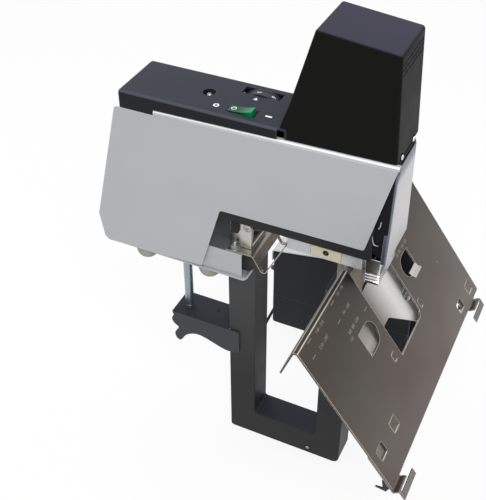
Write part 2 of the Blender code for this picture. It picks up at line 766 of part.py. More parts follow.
def below_covers(name, front_step=None):
    """A cutter for all that lies below the covers' top line, and below the panel behind the head."""
    line = cover_top_line(GAP)
    floor = CHASSIS_TOP - OVERRUN
    if front_step is None:
        outline = line + [(COVER_FRONT - OVERRUN, COVER_FRONT_TOP + GAP), (COVER_FRONT - OVERRUN, floor),
                          (COVER_REAR_TOP_Y + OVERRUN, floor)]
    else:
        outline = [(HEAD_SKIRT_Y + OVERRUN, HEAD_SKIRT), (front_step, HEAD_SKIRT),
                   (front_step, COVER_STEP_TOP + GAP + (COVER_FRONT_TOP - COVER_STEP_TOP)
                    * (COVER_STEP_Y - front_step) / (COVER_STEP_Y - COVER_FRONT)),
                   (COVER_FRONT, COVER_FRONT_TOP + GAP), (COVER_FRONT - OVERRUN, COVER_FRONT_TOP + GAP),
                   (COVER_FRONT - OVERRUN, floor), (HEAD_SKIRT_Y + OVERRUN, floor)]
    return plate(name, [outline], ALONG_X, -COVER_HALF - OVERRUN, COVER_HALF + OVERRUN)


def side_covers():
    line = cover_top_line(0)[2:]
    for name, side in (("side_cover_left", -1), ("side_cover_right", 1)):
        faces = sorted((side * COVER_INNER, side * COVER_HALF))
        cover = plate(name, [cover_outline()], ALONG_X, *faces, COVER_SILVER)
        edges = sorted((side * (COVER_HALF - COVER_FLANGE), side * (COVER_HALF - COVER_SHEET / 2)))
        flange = bent_sheet(name + "_flange", line, COVER_SHEET, *edges)
        fuse(cover, flange)


def chassis():
    outline = rounded([
        (CHASSIS_REAR_TOP, CHASSIS_TOP), (CHASSIS_FRONT, CHASSIS_TOP), (CHASSIS_FRONT, CHASSIS_EDGE),
        (CHASSIS_NOTCH, CHASSIS_EDGE), (CHASSIS_LOW_FRONT, CHASSIS_BOTTOM),
        (CHASSIS_REAR_LOW, CHASSIS_BOTTOM), (CHASSIS_HEEL, COVER_HEEL_Z)])
    for name, side in (("chassis_left", -1), ("chassis_right", 1)):
        faces = sorted((side * CHASSIS_INNER, side * CHASSIS_OUTER))
        plate(name, [outline], ALONG_X, *faces, FRAME_BLACK)
    path = [(REAR_TOP_Y, REAR_TOP), (REAR_HEEL_Y, COVER_HEEL_Z), (REAR_FOOT_Y, REAR_FOOT)]
    half = COVER_INNER - GAP
    bent_sheet("rear_panel", path, -COVER_SHEET, -half, half, COVER_SILVER)


def base():
    walls = [(TRAY_FRONT, PLATE_TOP + GAP), (TRAY_FRONT, TRAY_TOP), (TRAY_TOP_REAR, TRAY_TOP),
             (TRAY_RISE_Y, TRAY_WALL_TOP), (TRAY_REAR, TRAY_WALL_TOP), (TRAY_REAR, PLATE_TOP + GAP)]
    tray = plate("base_tray", [walls], ALONG_X, -INNER_HALF, INNER_HALF, COVER_SILVER)
    inner = INNER_HALF - TRAY_SHEET
    under = block("tray_under", (-inner, inner), (TRAY_FRONT - OVERRUN, TRAY_REAR + OVERRUN),
                  (PLATE_TOP - OVERRUN, TRAY_TOP - PLATE_SHEET))
    behind = block("tray_behind", (-inner, inner), (TRAY_TOP_REAR, TRAY_REAR + OVERRUN),
                   (PLATE_TOP - OVERRUN, TRAY_WALL_TOP + OVERRUN))
    cut(tray, under, behind)
    bolt_hole = rod("tray_bolt_hole", BOLT_RADIUS + GAP, ALONG_Z, (0, BOLT_Y), TRAY_TOP - OVERRUN,
                    TRAY_TOP + OVERRUN, sides=SMALL_SIDES)
    cut(tray, bolt_hole)
    path = [(PLATE_REAR, PLATE_TOP - PLATE_SHEET), (PLATE_FRONT, PLATE_TOP - PLATE_SHEET, 2 * PLATE_SHEET),
            (PLATE_FRONT - PLATE_LIP, PLATE_TOP - PLATE_SHEET + PLATE_LIP)]
    bottom = bent_sheet("bottom_plate", rounded(path, closed=False), -PLATE_SHEET, -CHASSIS_OUTER,
                        CHASSIS_OUTER, COVER_SILVER)
    notch = block("column_notch", (-FRAME_HALF - GAP, FRAME_HALF + GAP),
                  (PLATE_FRONT - PLATE_LIP - OVERRUN, COLUMN_REAR + GAP),
                  (PLATE_TOP - OVERRUN, PLATE_TOP + PLATE_LIP + OVERRUN))
    cut(bottom, notch)
    for place, radius in ((MAINS_Y, MAINS_RADIUS), (PEDAL_LEAD_Y, PEDAL_LEAD_RADIUS)):
        hole = rod("lead_hole", radius + 2 * GAP, ALONG_Z, (LEAD_X, place), PLATE_TOP - OVERRUN,
                   PLATE_TOP + OVERRUN, sides=SMALL_SIDES)
        cut(bottom, hole)
    top = PLATE_TOP - PLATE_SHEET - GAP
    profile = [(0, top), (FOOT_RADIUS, top), (FOOT_RADIUS, top - FOOT_HEIGHT * 0.35),
               (FOOT_RADIUS * 0.92, top - FOOT_HEIGHT * 0.7), (FOOT_RADIUS * 0.72, top - FOOT_HEIGHT * 0.92),
               (FOOT_RADIUS * 0.45, top - FOOT_HEIGHT), (0, top - FOOT_HEIGHT)]
    for row, place in (("front", FOOT_FRONT_Y), ("rear", FOOT_REAR_Y)):
        for side, across in (("left", -FOOT_X), ("right", FOOT_X)):
            lathe(f"foot_{row}_{side}", profile, Matrix.Translation((across, place, 0)), RUBBER,
                  steps=ROUND_SIDES // 2 + 4)


def body_mount():
    guard_top = TRAY_TOP + GAP + GUARD_SHEET
    floor = guard_top + GAP
    ceiling = CHASSIS_EDGE - GAP
    depth = (MOUNT_FRONT, MOUNT_REAR)
    mount = block("body_mount", (-MOUNT_HALF, MOUNT_HALF), depth, (floor, MOUNT_TOP - MOUNT_WALL), BRIGHT_STEEL)
    fuse(mount, block("mount_flange", (-INNER_HALF, INNER_HALF), depth, (ceiling, MOUNT_TOP)))
    hollow = (-MOUNT_HALF + MOUNT_WALL, MOUNT_HALF - MOUNT_WALL)
    cut(mount, block("mount_hollow", hollow, (MOUNT_FRONT - OVERRUN, MOUNT_REAR + OVERRUN),
                     (floor + MOUNT_WALL, ceiling - MOUNT_WALL)))
    hole = rod("mount_bolt_hole", BOLT_RADIUS + GAP, ALONG_Z, (0, BOLT_Y), floor - OVERRUN,
               floor + MOUNT_WALL + OVERRUN, sides=SMALL_SIDES)
    cut(mount, hole)
    seat = floor + MOUNT_WALL + GAP
    lathe("column_bolt", [
        (0, seat + BOLT_HEAD), (BOLT_HEAD, seat + BOLT_HEAD), (BOLT_HEAD, seat), (BOLT_RADIUS, seat),
        (BOLT_RADIUS, COLUMN_TOP - BOLT_DEPTH + BOLT_RADIUS), (0, COLUMN_TOP - BOLT_DEPTH + BOLT_RADIUS)],
        Matrix.Translation((0, BOLT_Y, 0)), ZINC, steps=SMALL_SIDES)
    path = rounded([(MOUNT_REAR, TRAY_TOP + GAP), (COLUMN_FRONT - GUARD_SHEET, TRAY_TOP + GAP, GUARD_BEND),
                    (GUARD_KNEE_Y, GUARD_KNEE_Z, GUARD_BEND + GUARD_SHEET), (GUARD_TIP_Y, GUARD_TIP_Z)],
                   closed=False)
    guard = bent_sheet("paper_guard", path, -GUARD_SHEET, -GUARD_HALF, GUARD_HALF, BRIGHT_STEEL)
    guard_hole = rod("guard_bolt_hole", BOLT_RADIUS + GAP, ALONG_Z, (0, BOLT_Y), TRAY_TOP - OVERRUN,
                     guard_top + OVERRUN, sides=SMALL_SIDES)
    cut(guard, guard_hole)
    rail = GUARD_HALF - GUARD_RAIL
    bar = GUARD_TIP_Z - GUARD_TIP_BAR
    window = [(COLUMN_FRONT, GUARD_LIP_FOOT), (GUARD_KNEE_Y, GUARD_LIP_FOOT), (GUARD_TIP_Y + 0.010, bar),
              (GUARD_TIP_Y - OVERRUN, bar), (GUARD_KNEE_Y - 0.010, GUARD_KNEE_Z - 2 * OVERRUN),
              (COLUMN_FRONT, GUARD_KNEE_Z - 2 * OVERRUN)]
    cut(guard, plate("guard_window", [window], ALONG_X, -rail, rail))


def top_panel():
    low = COVER_REAR_TOP + GAP - OVERRUN
    panel = block("top_panel", (-PANEL_HALF, PANEL_HALF), (PANEL_FRONT, PANEL_REAR), (low, PANEL_TOP),
                  PANEL_PLASTIC)
    shape = bmesh.new()
    shape.from_mesh(panel.data)
    floor = min(shape.faces, key=lambda face: face.calc_center_median().z)
    bmesh.ops.delete(shape, geom=[floor], context="FACES_ONLY")
    shape.to_mesh(panel.data)
    shape.free()
    ease(panel, PANEL_EDGE, segments=3)
    shell = panel.modifiers.new("wall", "SOLIDIFY")
    shell.thickness = PANEL_WALL
    shell.offset = -1
    shell.use_even_offset = True
    cut(panel, below_covers("below_panel"))
    window = block("switch_window", (SWITCH_X - SWITCH_HALF - GAP, SWITCH_X + SWITCH_HALF + GAP),
                   (SWITCH_Y - SWITCH_LENGTH / 2 - GAP, SWITCH_Y + SWITCH_LENGTH / 2 + GAP),
                   (PANEL_TOP - PANEL_WALL - OVERRUN, PANEL_TOP + OVERRUN))
    slot = block("dial_slot", (DIAL_LEFT - DIAL_SLOT_SIDE, DIAL_LEFT + DIAL_WIDTH + DIAL_SLOT_SIDE),
                 (DIAL_Y - DIAL_SLOT_LENGTH / 2, DIAL_Y + DIAL_SLOT_LENGTH / 2),
                 (PANEL_TOP - PANEL_WALL - OVERRUN, PANEL_TOP + OVERRUN))
    recess = rod("screw_recess", RECESS_RADIUS, ALONG_Z, (0, RECESS_Y), PANEL_TOP - RECESS_DEPTH,
                 PANEL_TOP + OVERRUN)
    cut(panel, window, slot, recess)


def switch():
    half = SWITCH_HALF
    length = (SWITCH_Y - SWITCH_LENGTH / 2, SWITCH_Y + SWITCH_LENGTH / 2)
    housing = block("switch_housing", (SWITCH_X - half, SWITCH_X + half), length,
                    (SWITCH_BOTTOM, PANEL_TOP - GAP), HEAD_PLASTIC)
    cavity = block("switch_cavity", (SWITCH_X - half + SWITCH_WALL, SWITCH_X + half - SWITCH_WALL),
                   (length[0] + SWITCH_WALL, length[1] - SWITCH_WALL),
                   (SWITCH_BOTTOM + SWITCH_WALL, PANEL_TOP + OVERRUN))
    cut(housing, cavity)
    outline = [(-ROCKER_REACH, ROCKER_EDGE_TOP), (-ROCKER_REACH, ROCKER_EDGE_LOW), (0, -ROCKER_KEEL),
               (ROCKER_REACH, ROCKER_EDGE_LOW), (ROCKER_REACH, ROCKER_EDGE_TOP), (0, ROCKER_TOP)]
    pivot = Matrix.Translation((0, SWITCH_Y, ROCKER_AXIS_Z)) @ Matrix.Rotation(
        math.radians(-ROCKER_TILT), 4, "X")
    rocker = plate("rocker_switch", [outline], pivot @ ALONG_X, SWITCH_X - ROCKER_HALF,
                   SWITCH_X + ROCKER_HALF, GREEN)
    hang(axis_empty("rocker_axis", (SWITCH_X, SWITCH_Y, ROCKER_AXIS_Z)), rocker)


def dial():
    centre = (DIAL_Y, DIAL_Z)
    wheel = rod("strength_dial", DIAL_RADIUS, ALONG_X, centre, DIAL_LEFT, DIAL_LEFT + DIAL_WIDTH,
                HEAD_PLASTIC, sides=ROUND_SIDES * 3 // 2)
    ease(wheel, DIAL_SLOT_SIDE / 2, segments=1)
    shaft_start = DIAL_LEFT - DIAL_SHAFT
    fuse(wheel, rod("dial_shaft", DIAL_SHAFT, ALONG_X, centre, shaft_start, DIAL_LEFT + DIAL_SHAFT,
                    sides=SMALL_SIDES))
    hang(axis_empty("dial_axis", (DIAL_LEFT, DIAL_Y, DIAL_Z)), wheel)
    pot_right = shaft_start - GAP
    board_top = BOARD_Z + BOARD_SHEET
    pot = rod("potentiometer", POT_RADIUS, ALONG_X, centre, pot_right - POT_LENGTH, pot_right, ZINC)
    fuse(pot, block("pot_foot", (pot_right - POT_LENGTH, pot_right - GAP), (DIAL_Y - POT_FOOT, DIAL_Y + POT_FOOT),
                    (board_top + GAP, DIAL_Z)))


def control_board():
    top = BOARD_Z + BOARD_SHEET
    board = block("control_board", (-INNER_HALF, INNER_HALF), (BOARD_FRONT, BOARD_REAR), (BOARD_Z, top),
                  BOARD_GREEN)
    depth = BOARD_REAR - BOARD_FRONT
    relay = block("relay", (-INNER_HALF * 0.85, -INNER_HALF * 0.15),
                  (BOARD_FRONT + depth * 0.62, BOARD_FRONT + depth * 0.92), (BOARD_Z + GAP, top + BOARD_PART_HEIGHT))
    capacitor = rod("capacitor", BOARD_PART_HEIGHT * 0.4, ALONG_Z, (INNER_HALF * 0.5, BOARD_FRONT + depth * 0.8),
                    BOARD_Z + GAP, top + BOARD_PART_HEIGHT, sides=SMALL_SIDES)
    fuse(board, relay, capacitor)


def head_profile():
    return rounded([
        (HEAD_FRONT, COVER_REAR_TOP), (HEAD_FRONT_TOP_Y, HEAD_FRONT_TOP, HEAD_CROWN),
        (HEAD_REAR_TOP_Y, HEAD_REAR_TOP, HEAD_CROWN), (HEAD_WAIST_Y, HEAD_WAIST, HEAD_FILLET),
        (HEAD_SKIRT_Y, HEAD_SKIRT), (HEAD_SKIRT_Y, COVER_REAR_TOP)])


def head_cover():
    outer = head_profile()
    head = plate("head_cover", [outer], ALONG_X, -HEAD_HALF, HEAD_HALF, HEAD_PLASTIC)
    ease(head, HEAD_SIDE_EDGE, segments=3, angle=60)
    bottom = COVER_REAR_TOP - OVERRUN
    inner = beside(outer[1:-2], -HEAD_WALL)
    skirt = HEAD_SKIRT_Y - HEAD_WALL * 2
    hollow = [(HEAD_FRONT + HEAD_WALL, bottom)] + inner + [(skirt, HEAD_SKIRT - OVERRUN), (skirt, bottom)]
    wall = HEAD_HALF - HEAD_WALL
    cut(head, plate("head_hollow", [hollow], ALONG_X, -wall, wall), below_covers("below_head", PANEL_FRONT - GAP))
    lean = (HEAD_FRONT_TOP_Y - HEAD_FRONT) / (HEAD_FRONT_TOP - COVER_FRONT_TOP)
    for index in range(VENT_COUNT):
        height = VENT_TOP - index * VENT_PITCH
        face = HEAD_FRONT + lean * (height - COVER_FRONT_TOP)
        vent = block(f"vent_{index + 1}", (-HEAD_HALF - OVERRUN, HEAD_HALF + OVERRUN),
                     (face - OVERRUN, face + VENT_DEPTH), (height - VENT_HEIGHT, height))
        cut(head, vent)


def front_guard():
    rear = PLATE_FACE + FRONT_FLANGE
    path = rounded([(FRONT_BOTTOM_HALF, rear), (FRONT_BOTTOM_HALF, PLATE_FACE, 2 * FRONT_SHEET),
                    (-FRONT_BOTTOM_HALF, PLATE_FACE, 2 * FRONT_SHEET), (-FRONT_BOTTOM_HALF, rear)], closed=False)
    guard = bent_sheet("front_guard", path, -FRONT_SHEET, FRONT_BOTTOM, FRONT_TOP, BRIGHT_STEEL, ALONG_Z)
    for vert in guard.data.vertices:
        if vert.co.z > 0:
            vert.co.x *= FRONT_TOP_HALF / FRONT_BOTTOM_HALF


def solenoid():
    floor = CHASSIS_TOP - BRACKET_PLATE
    bracket = block("solenoid_bracket", (-INNER_HALF, INNER_HALF), (CHASSIS_FRONT, BRACKET_PLATE_REAR),
                    (floor, CHASSIS_TOP), ZINC)
    fuse(bracket, block("front_block", (-FRONT_BLOCK_HALF, FRONT_BLOCK_HALF),
                        (PLATE_FACE + FRONT_SHEET + GAP, CHASSIS_FRONT + GAP), (floor, FRONT_BLOCK_TOP)))
    passage = PUSH_ROD + PUSH_ROD_PLAY
    centre = (0, DRIVE_Y)
    cut(bracket, rod("bracket_passage", passage, ALONG_Z, centre, floor - OVERRUN, CHASSIS_TOP + OVERRUN,
                     sides=SMALL_SIDES))
    base_z = CHASSIS_TOP + GAP
    depth = (DRIVE_Y - YOKE_REACH, DRIVE_Y + YOKE_REACH)
    yoke = block("solenoid_yoke", (-YOKE_HALF, YOKE_HALF), depth, (base_z, YOKE_TOP), ZINC)
    inner = YOKE_HALF - YOKE_WALL
    cut(yoke, block("yoke_hollow", (-inner, inner), (depth[0] - OVERRUN, depth[1] + OVERRUN),
                    (base_z + YOKE_WALL, YOKE_TOP - YOKE_WALL)))
    stop_top = base_z + YOKE_WALL + STOP_HEIGHT
    fuse(yoke, rod("solenoid_stop", STOP_RADIUS, ALONG_Z, centre, base_z + YOKE_WALL / 2, stop_top))
    cut(yoke, rod("stop_passage", passage, ALONG_Z, centre, base_z - OVERRUN, stop_top + OVERRUN,
                  sides=SMALL_SIDES),
        rod("plunger_passage", PLUNGER_RADIUS + PUSH_ROD_PLAY, ALONG_Z, centre,
            YOKE_TOP - YOKE_WALL - OVERRUN, YOKE_TOP + OVERRUN))
    low = base_z + YOKE_WALL + GAP
    high = YOKE_TOP - YOKE_WALL - GAP
    waist = COIL_RADIUS - COIL_WAIST
    lathe("solenoid_coil", [
        (COIL_RADIUS, high), (COIL_RADIUS, high - COIL_FLANGE), (waist, high - COIL_FLANGE),
        (waist, low + COIL_FLANGE), (COIL_RADIUS, low + COIL_FLANGE), (COIL_RADIUS, low),
        (COIL_BORE, low), (COIL_BORE, high)], Matrix.Translation((0, DRIVE_Y, 0)), COPPER, closed=True)
    plunger = rod("plunger", PLUNGER_RADIUS, ALONG_Z, centre, PLUNGER_FOOT, PLUNGER_TOP, ZINC)
    hammer = block("hammer", (-HAMMER_HALF, HAMMER_HALF), (DRIVE_Y - HAMMER_REACH, DRIVE_Y + HAMMER_REACH),
                   (HAMMER_FOOT, HAMMER_TOP))
    fuse(plunger, rod("push_rod", PUSH_ROD, ALONG_Z, centre, HAMMER_TOP - PUSH_ROD, PLUNGER_FOOT + PUSH_ROD,
                      sides=SMALL_SIDES), hammer)
    blade = block("driver_blade", (-BLADE_HALF, BLADE_HALF),
                  (DRIVE_Y - BLADE_HALF_SHEET, DRIVE_Y + BLADE_HALF_SHEET), (BLADE_FOOT, HAMMER_FOOT - GAP),
                  BRIGHT_STEEL)
    hang(axis_empty("driver_axis", (0, DRIVE_Y, HAMMER_FOOT)), plunger, blade)
    top = HAMMER_FOOT - GAP
    foot = GUIDE_TOP + GAP
    lathe("return_spring", [(SPRING_RADIUS, top), (SPRING_RADIUS, foot), (SPRING_BORE, foot),
                            (SPRING_BORE, top)], Matrix.Translation((0, DRIVE_Y, 0)), BRIGHT_STEEL, closed=True)


def magazine():
    guide = block("magazine_guide", (-INNER_HALF, INNER_HALF), (GUIDE_FRONT, GUIDE_REAR),
                  (GUIDE_CEILING, GUIDE_TOP), LIGHT_GREY)
    inner = GUIDE_HALF - GUIDE_WALL
    lip = inner - GUIDE_LIP
    lip_top = GUIDE_FOOT + GUIDE_LIP_SHEET
    middle = (GUIDE_CEILING + GUIDE_TOP) / 2
    for side in (-1, 1):
        hook = [(side * across, up) for across, up in (
            (GUIDE_HALF, middle), (GUIDE_HALF, GUIDE_FOOT), (lip, GUIDE_FOOT), (lip, lip_top),
            (inner, lip_top), (inner, middle))]
        fuse(guide, plate("guide_hook", [hook], ALONG_Y, -GUIDE_REAR, -GUIDE_FRONT))
    cut(guide, block("latch_window", (-GUIDE_HALF - OVERRUN, -inner + GAP), (WINDOW_FRONT, WINDOW_REAR),
                     (lip_top, GUIDE_CEILING)))
    blade_way = (DRIVE_Y - BLADE_HALF_SHEET * 2, DRIVE_Y + BLADE_HALF_SHEET * 2)
    cut(guide, block("blade_slot", (-CHANNEL_HALF, CHANNEL_HALF), blade_way,
                     (GUIDE_CEILING - OVERRUN, GUIDE_TOP + OVERRUN)))
    body = block("magazine", (-MAGAZINE_HALF, MAGAZINE_HALF), (MAGAZINE_FRONT, MAGAZINE_REAR),
                 (MAGAZINE_FOOT, MAGAZINE_TOP), BRIGHT_STEEL)
    half = CHANNEL_HALF
    rail = CHANNEL_HALF - CHANNEL_WALL
    cut(body, block("staple_channel", (-half, half), (CHANNEL_FRONT, MAGAZINE_REAR + OVERRUN),
                    (MAGAZINE_FOOT - OVERRUN, MAGAZINE_TOP + OVERRUN)))
    rail_front = STRIP_FRONT + GAP
    core = block("staple_rail", (-rail, rail), (rail_front, MAGAZINE_REAR), (MAGAZINE_FOOT, RAIL_TOP), ZINC)
    fuse(core, block("rail_post", (-rail, rail), (CHANNEL_REAR, MAGAZINE_REAR), (MAGAZINE_FOOT, MAGAZINE_TOP)))
    out = half - STRIP_PLAY
    near = rail + STRIP_PLAY
    leg = CHANNEL_FLOOR + STRIP_PLAY
    bridge = RAIL_TOP + STRIP_PLAY
    crown = bridge + STRIP_SHEET
    section = [(-out, leg), (-out, crown), (out, crown), (out, leg), (near, leg), (near, bridge),
               (-near, bridge), (-near, leg)]
    strip = plate("staple_strip", [section], ALONG_Y, -STRIP_REAR, -STRIP_FRONT - GAP, BRIGHT_STEEL)
    thick = [(-out, leg), (-out, PUSHER_TOP), (out, PUSHER_TOP), (out, leg), (near, leg), (near, bridge),
             (-near, bridge), (-near, leg)]
    pusher_front = STRIP_REAR + GAP
    pusher = plate("staple_pusher", [thick], ALONG_Y, -pusher_front - PUSHER_LENGTH, -pusher_front, HEAD_PLASTIC)
    grip_outline = [(GRIP_HALF, MAGAZINE_TOP), (-GRIP_HALF, MAGAZINE_TOP)]
    left_side = [(-GRIP_HALF, GRIP_FOOT)]
    for index in range(GROOVE_COUNT):
        low = GRIP_FOOT + GROOVE_FIRST + index * GROOVE_PITCH
        left_side += [(-GRIP_HALF, low), (-GRIP_HALF + GROOVE_DEPTH, low + GROOVE_DEPTH),
                      (-GRIP_HALF, low + 2 * GROOVE_DEPTH)]
    grip_outline += left_side[::-1] + [(-across, up) for across, up in left_side]
    grip = plate("magazine_grip", [grip_outline], ALONG_Y, -MAGAZINE_FRONT + GAP, -GRIP_FRONT, BRIGHT_STEEL)
    carrier = axis_empty("magazine_axis", (0, MAGAZINE_FRONT, MAGAZINE_FOOT))
    hang(carrier, body, grip)
    hang(axis_empty("pusher_axis", (0, pusher_front, RAIL_TOP)), pusher)
    latch = block("magazine_latch", (-LATCH_OUT, -MAGAZINE_HALF - GAP), (WINDOW_FRONT + GAP, WINDOW_REAR - GAP),
                  (lip_top + GAP, GUIDE_CEILING - GAP), CREAM)
    middle_y = (WINDOW_FRONT + WINDOW_REAR) / 2
    cut(latch, rod("latch_hole", LATCH_HOLE, ALONG_X, (middle_y, (lip_top + GUIDE_CEILING) / 2),
                   -LATCH_OUT - OVERRUN, -MAGAZINE_HALF + OVERRUN, sides=SMALL_SIDES))


def anvil():
    holder = block("anvil_holder", (-HOLDER_HALF, HOLDER_HALF), (HOLDER_FRONT, HOLDER_REAR),
                   (POST_TOP + GAP, HOLDER_TOP), BROWN_STEEL)
    ease(holder, GAP * 2, segments=1)
    centre = (DRIVE_Y, PIN_Z)
    cut(holder, rod("holder_bore", PIN_RADIUS + GAP, ALONG_X, centre, -HOLDER_HALF - OVERRUN,
                    HOLDER_HALF + OVERRUN, sides=SMALL_SIDES))
    rod("table_hinge_pin", PIN_RADIUS, ALONG_X, centre, PIN_LEFT, PIN_RIGHT, ZINC, sides=SMALL_SIDES)
    foot = HOLDER_TOP + GAP
    top = foot + ANVIL_HEIGHT
    die = block("anvil", (-ANVIL_HALF, ANVIL_HALF), (ANVIL_FRONT, ANVIL_REAR), (foot, top), BRIGHT_STEEL)
    for side in (-1, 1):
        pocket = block("clinch_pocket", (side * CLINCH_X - CLINCH_HALF_LENGTH, side * CLINCH_X + CLINCH_HALF_LENGTH),
                       (DRIVE_Y - CLINCH_HALF_WIDTH, DRIVE_Y + CLINCH_HALF_WIDTH),
                       (top - CLINCH_DEPTH, top + OVERRUN))
        cut(die, pocket)


def table():
    low = RIDGE + DOWN * TABLE_LENGTH
    drop = math.radians(FLAP_SLOPE)
    crown_rear = RIDGE_Y + CROWN_WIDTH
    path = rounded([(low.y, low.z), (RIDGE_Y, RIDGE_Z, CROWN_BEND), (crown_rear, RIDGE_Z, CROWN_BEND),
                    (crown_rear + FLAP_LENGTH * math.cos(drop), RIDGE_Z - FLAP_LENGTH * math.sin(drop))],
                   closed=False)
    sheet = bent_sheet("saddle_table", path, -TABLE_SHEET, -TABLE_HALF, TABLE_HALF, BROWN_STEEL)
    ears = []
    for name, inner in (("ear_left", OPENING_LEFT - EAR_GAP), ("ear_right", OPENING_RIGHT + EAR_GAP)):
        outer = inner + math.copysign(EAR_SHEET, inner)
        arc = [(DRIVE_Y + EAR_RADIUS * math.cos(turn), PIN_Z + EAR_RADIUS * math.sin(turn))
               for turn in (math.pi + step * math.pi / 8 for step in range(9))]
        web = [(RIDGE_Y - TABLE_SHEET * 2.6, RIDGE_Z - TABLE_SHEET * 3.9), (RIDGE_Y, RIDGE_Z - TABLE_SHEET * 0.6)]
        web_rear = [(crown_rear, RIDGE_Z - TABLE_SHEET * 0.6),
                    (crown_rear + TABLE_SHEET * 1.1, RIDGE_Z - TABLE_SHEET * 3.4)]
        ears.append(plate(name, [web[::-1] + arc + web_rear[::-1]], ALONG_X, *sorted((inner, outer))))
    fuse(sheet, *ears)
    left, right = OPENING_LEFT, OPENING_RIGHT
    window = [(left, -OVERRUN), (right, -OVERRUN), (right, OPENING_LOW - OPENING_CHAMFER),
              (right - OPENING_CHAMFER, OPENING_LOW), (left, OPENING_LOW)]
    holes = [window]
    for start, end in D_HOLES:
        holes.append(rounded([(start, D_LOW), (end, D_LOW), (end, D_TOP, (end - start) * 0.42),
                              (start, D_TOP, (end - start) * 0.42)]))
    for start, end, top, foot in LANCES:
        holes.append(rounded([(start, top, LANCE_CORNER), (end, top, LANCE_CORNER), (end, foot, LANCE_CORNER),
                              (start, foot, LANCE_CORNER)]))
    cut(sheet, plate("table_holes", holes, IN_TABLE, -OVERRUN, TABLE_SHEET + OVERRUN))
    notch = block("ridge_notch", (left, right), (RIDGE_Y - OVERRUN, HOLDER_REAR + FLAP_LENGTH),
                  (RIDGE_Z - FLAP_LENGTH - OVERRUN, RIDGE_Z + OVERRUN))
    pin_hole = rod("ear_bore", PIN_RADIUS + GAP, ALONG_X, (DRIVE_Y, PIN_Z), PIN_LEFT - OVERRUN,
                   PIN_RIGHT + OVERRUN, sides=SMALL_SIDES)
    cut(sheet, notch, pin_hole)
    for index, (start, end) in enumerate(D_HOLES):
        tab = plate(f"tab_{index + 1}", [[(start + TAB_MARGIN, D_LOW - TAB_SHEET / 2), (end, D_LOW - TAB_SHEET / 2),
                                          (end, D_LOW + TAB_SHEET / 2), (start + TAB_MARGIN, D_LOW + TAB_SHEET / 2)]],
                    IN_TABLE, -TAB_HEIGHT, TABLE_SHEET / 2)
        fuse(sheet, tab)
    hinge = axis_empty("table_axis", (0, DRIVE_Y, PIN_Z))
    hang(hinge, sheet)
    for name, start, end in STOPS:
        depth = -TABLE_SHEET - GAP
        face = STOP_WALL + STOP_SHEET
        section = [(STOP_START, depth - STOP_SHEET), (face, depth - STOP_SHEET), (face, STOP_PROUD - STOP_SHEET),
                   (STOP_WALL + STOP_LEDGE, STOP_PROUD - STOP_SHEET), (STOP_WALL + STOP_LEDGE, STOP_PROUD),
                   (STOP_WALL, STOP_PROUD), (STOP_WALL, depth), (STOP_START, depth)]
        stop = plate(name, [section], STOP_PLACING, -end, -start, BRIGHT_STEEL)
        rail = axis_empty(name + "_axis", (start, low.y, low.z))
        hang(rail, stop)


def saddle_support():
    outline = rounded([
        (SUPPORT_LEFT, SUPPORT_START), (SUPPORT_RIGHT, SUPPORT_START), (SUPPORT_RIGHT, SUPPORT_END),
        (SUPPORT_TAIL_X, SUPPORT_END), (SUPPORT_NICK_X, SUPPORT_NICK, SUPPORT_CORNER),
        (SUPPORT_LEFT, SUPPORT_NICK)])
    support = plate("saddle_support", [outline], IN_TABLE, SUPPORT_DEPTH, SUPPORT_DEPTH + SUPPORT_SHEET, BRIGHT_STEEL)
    face = POST_FRONT - GAP
    top = RIDGE + DOWN * SUPPORT_START + INWARD * (SUPPORT_DEPTH + SUPPORT_SHEET)
    fuse(support, block("support_flange", (-FRAME_HALF, FRAME_HALF), (face - SUPPORT_SHEET, face),
                        (SUPPORT_FLANGE_FOOT, top.z)))
    cut(support, rod("support_hole", SUPPORT_HOLE, IN_TABLE, (SUPPORT_HOLE_X, SUPPORT_HOLE_V),
                     SUPPORT_DEPTH - OVERRUN, SUPPORT_DEPTH + SUPPORT_SHEET + OVERRUN))


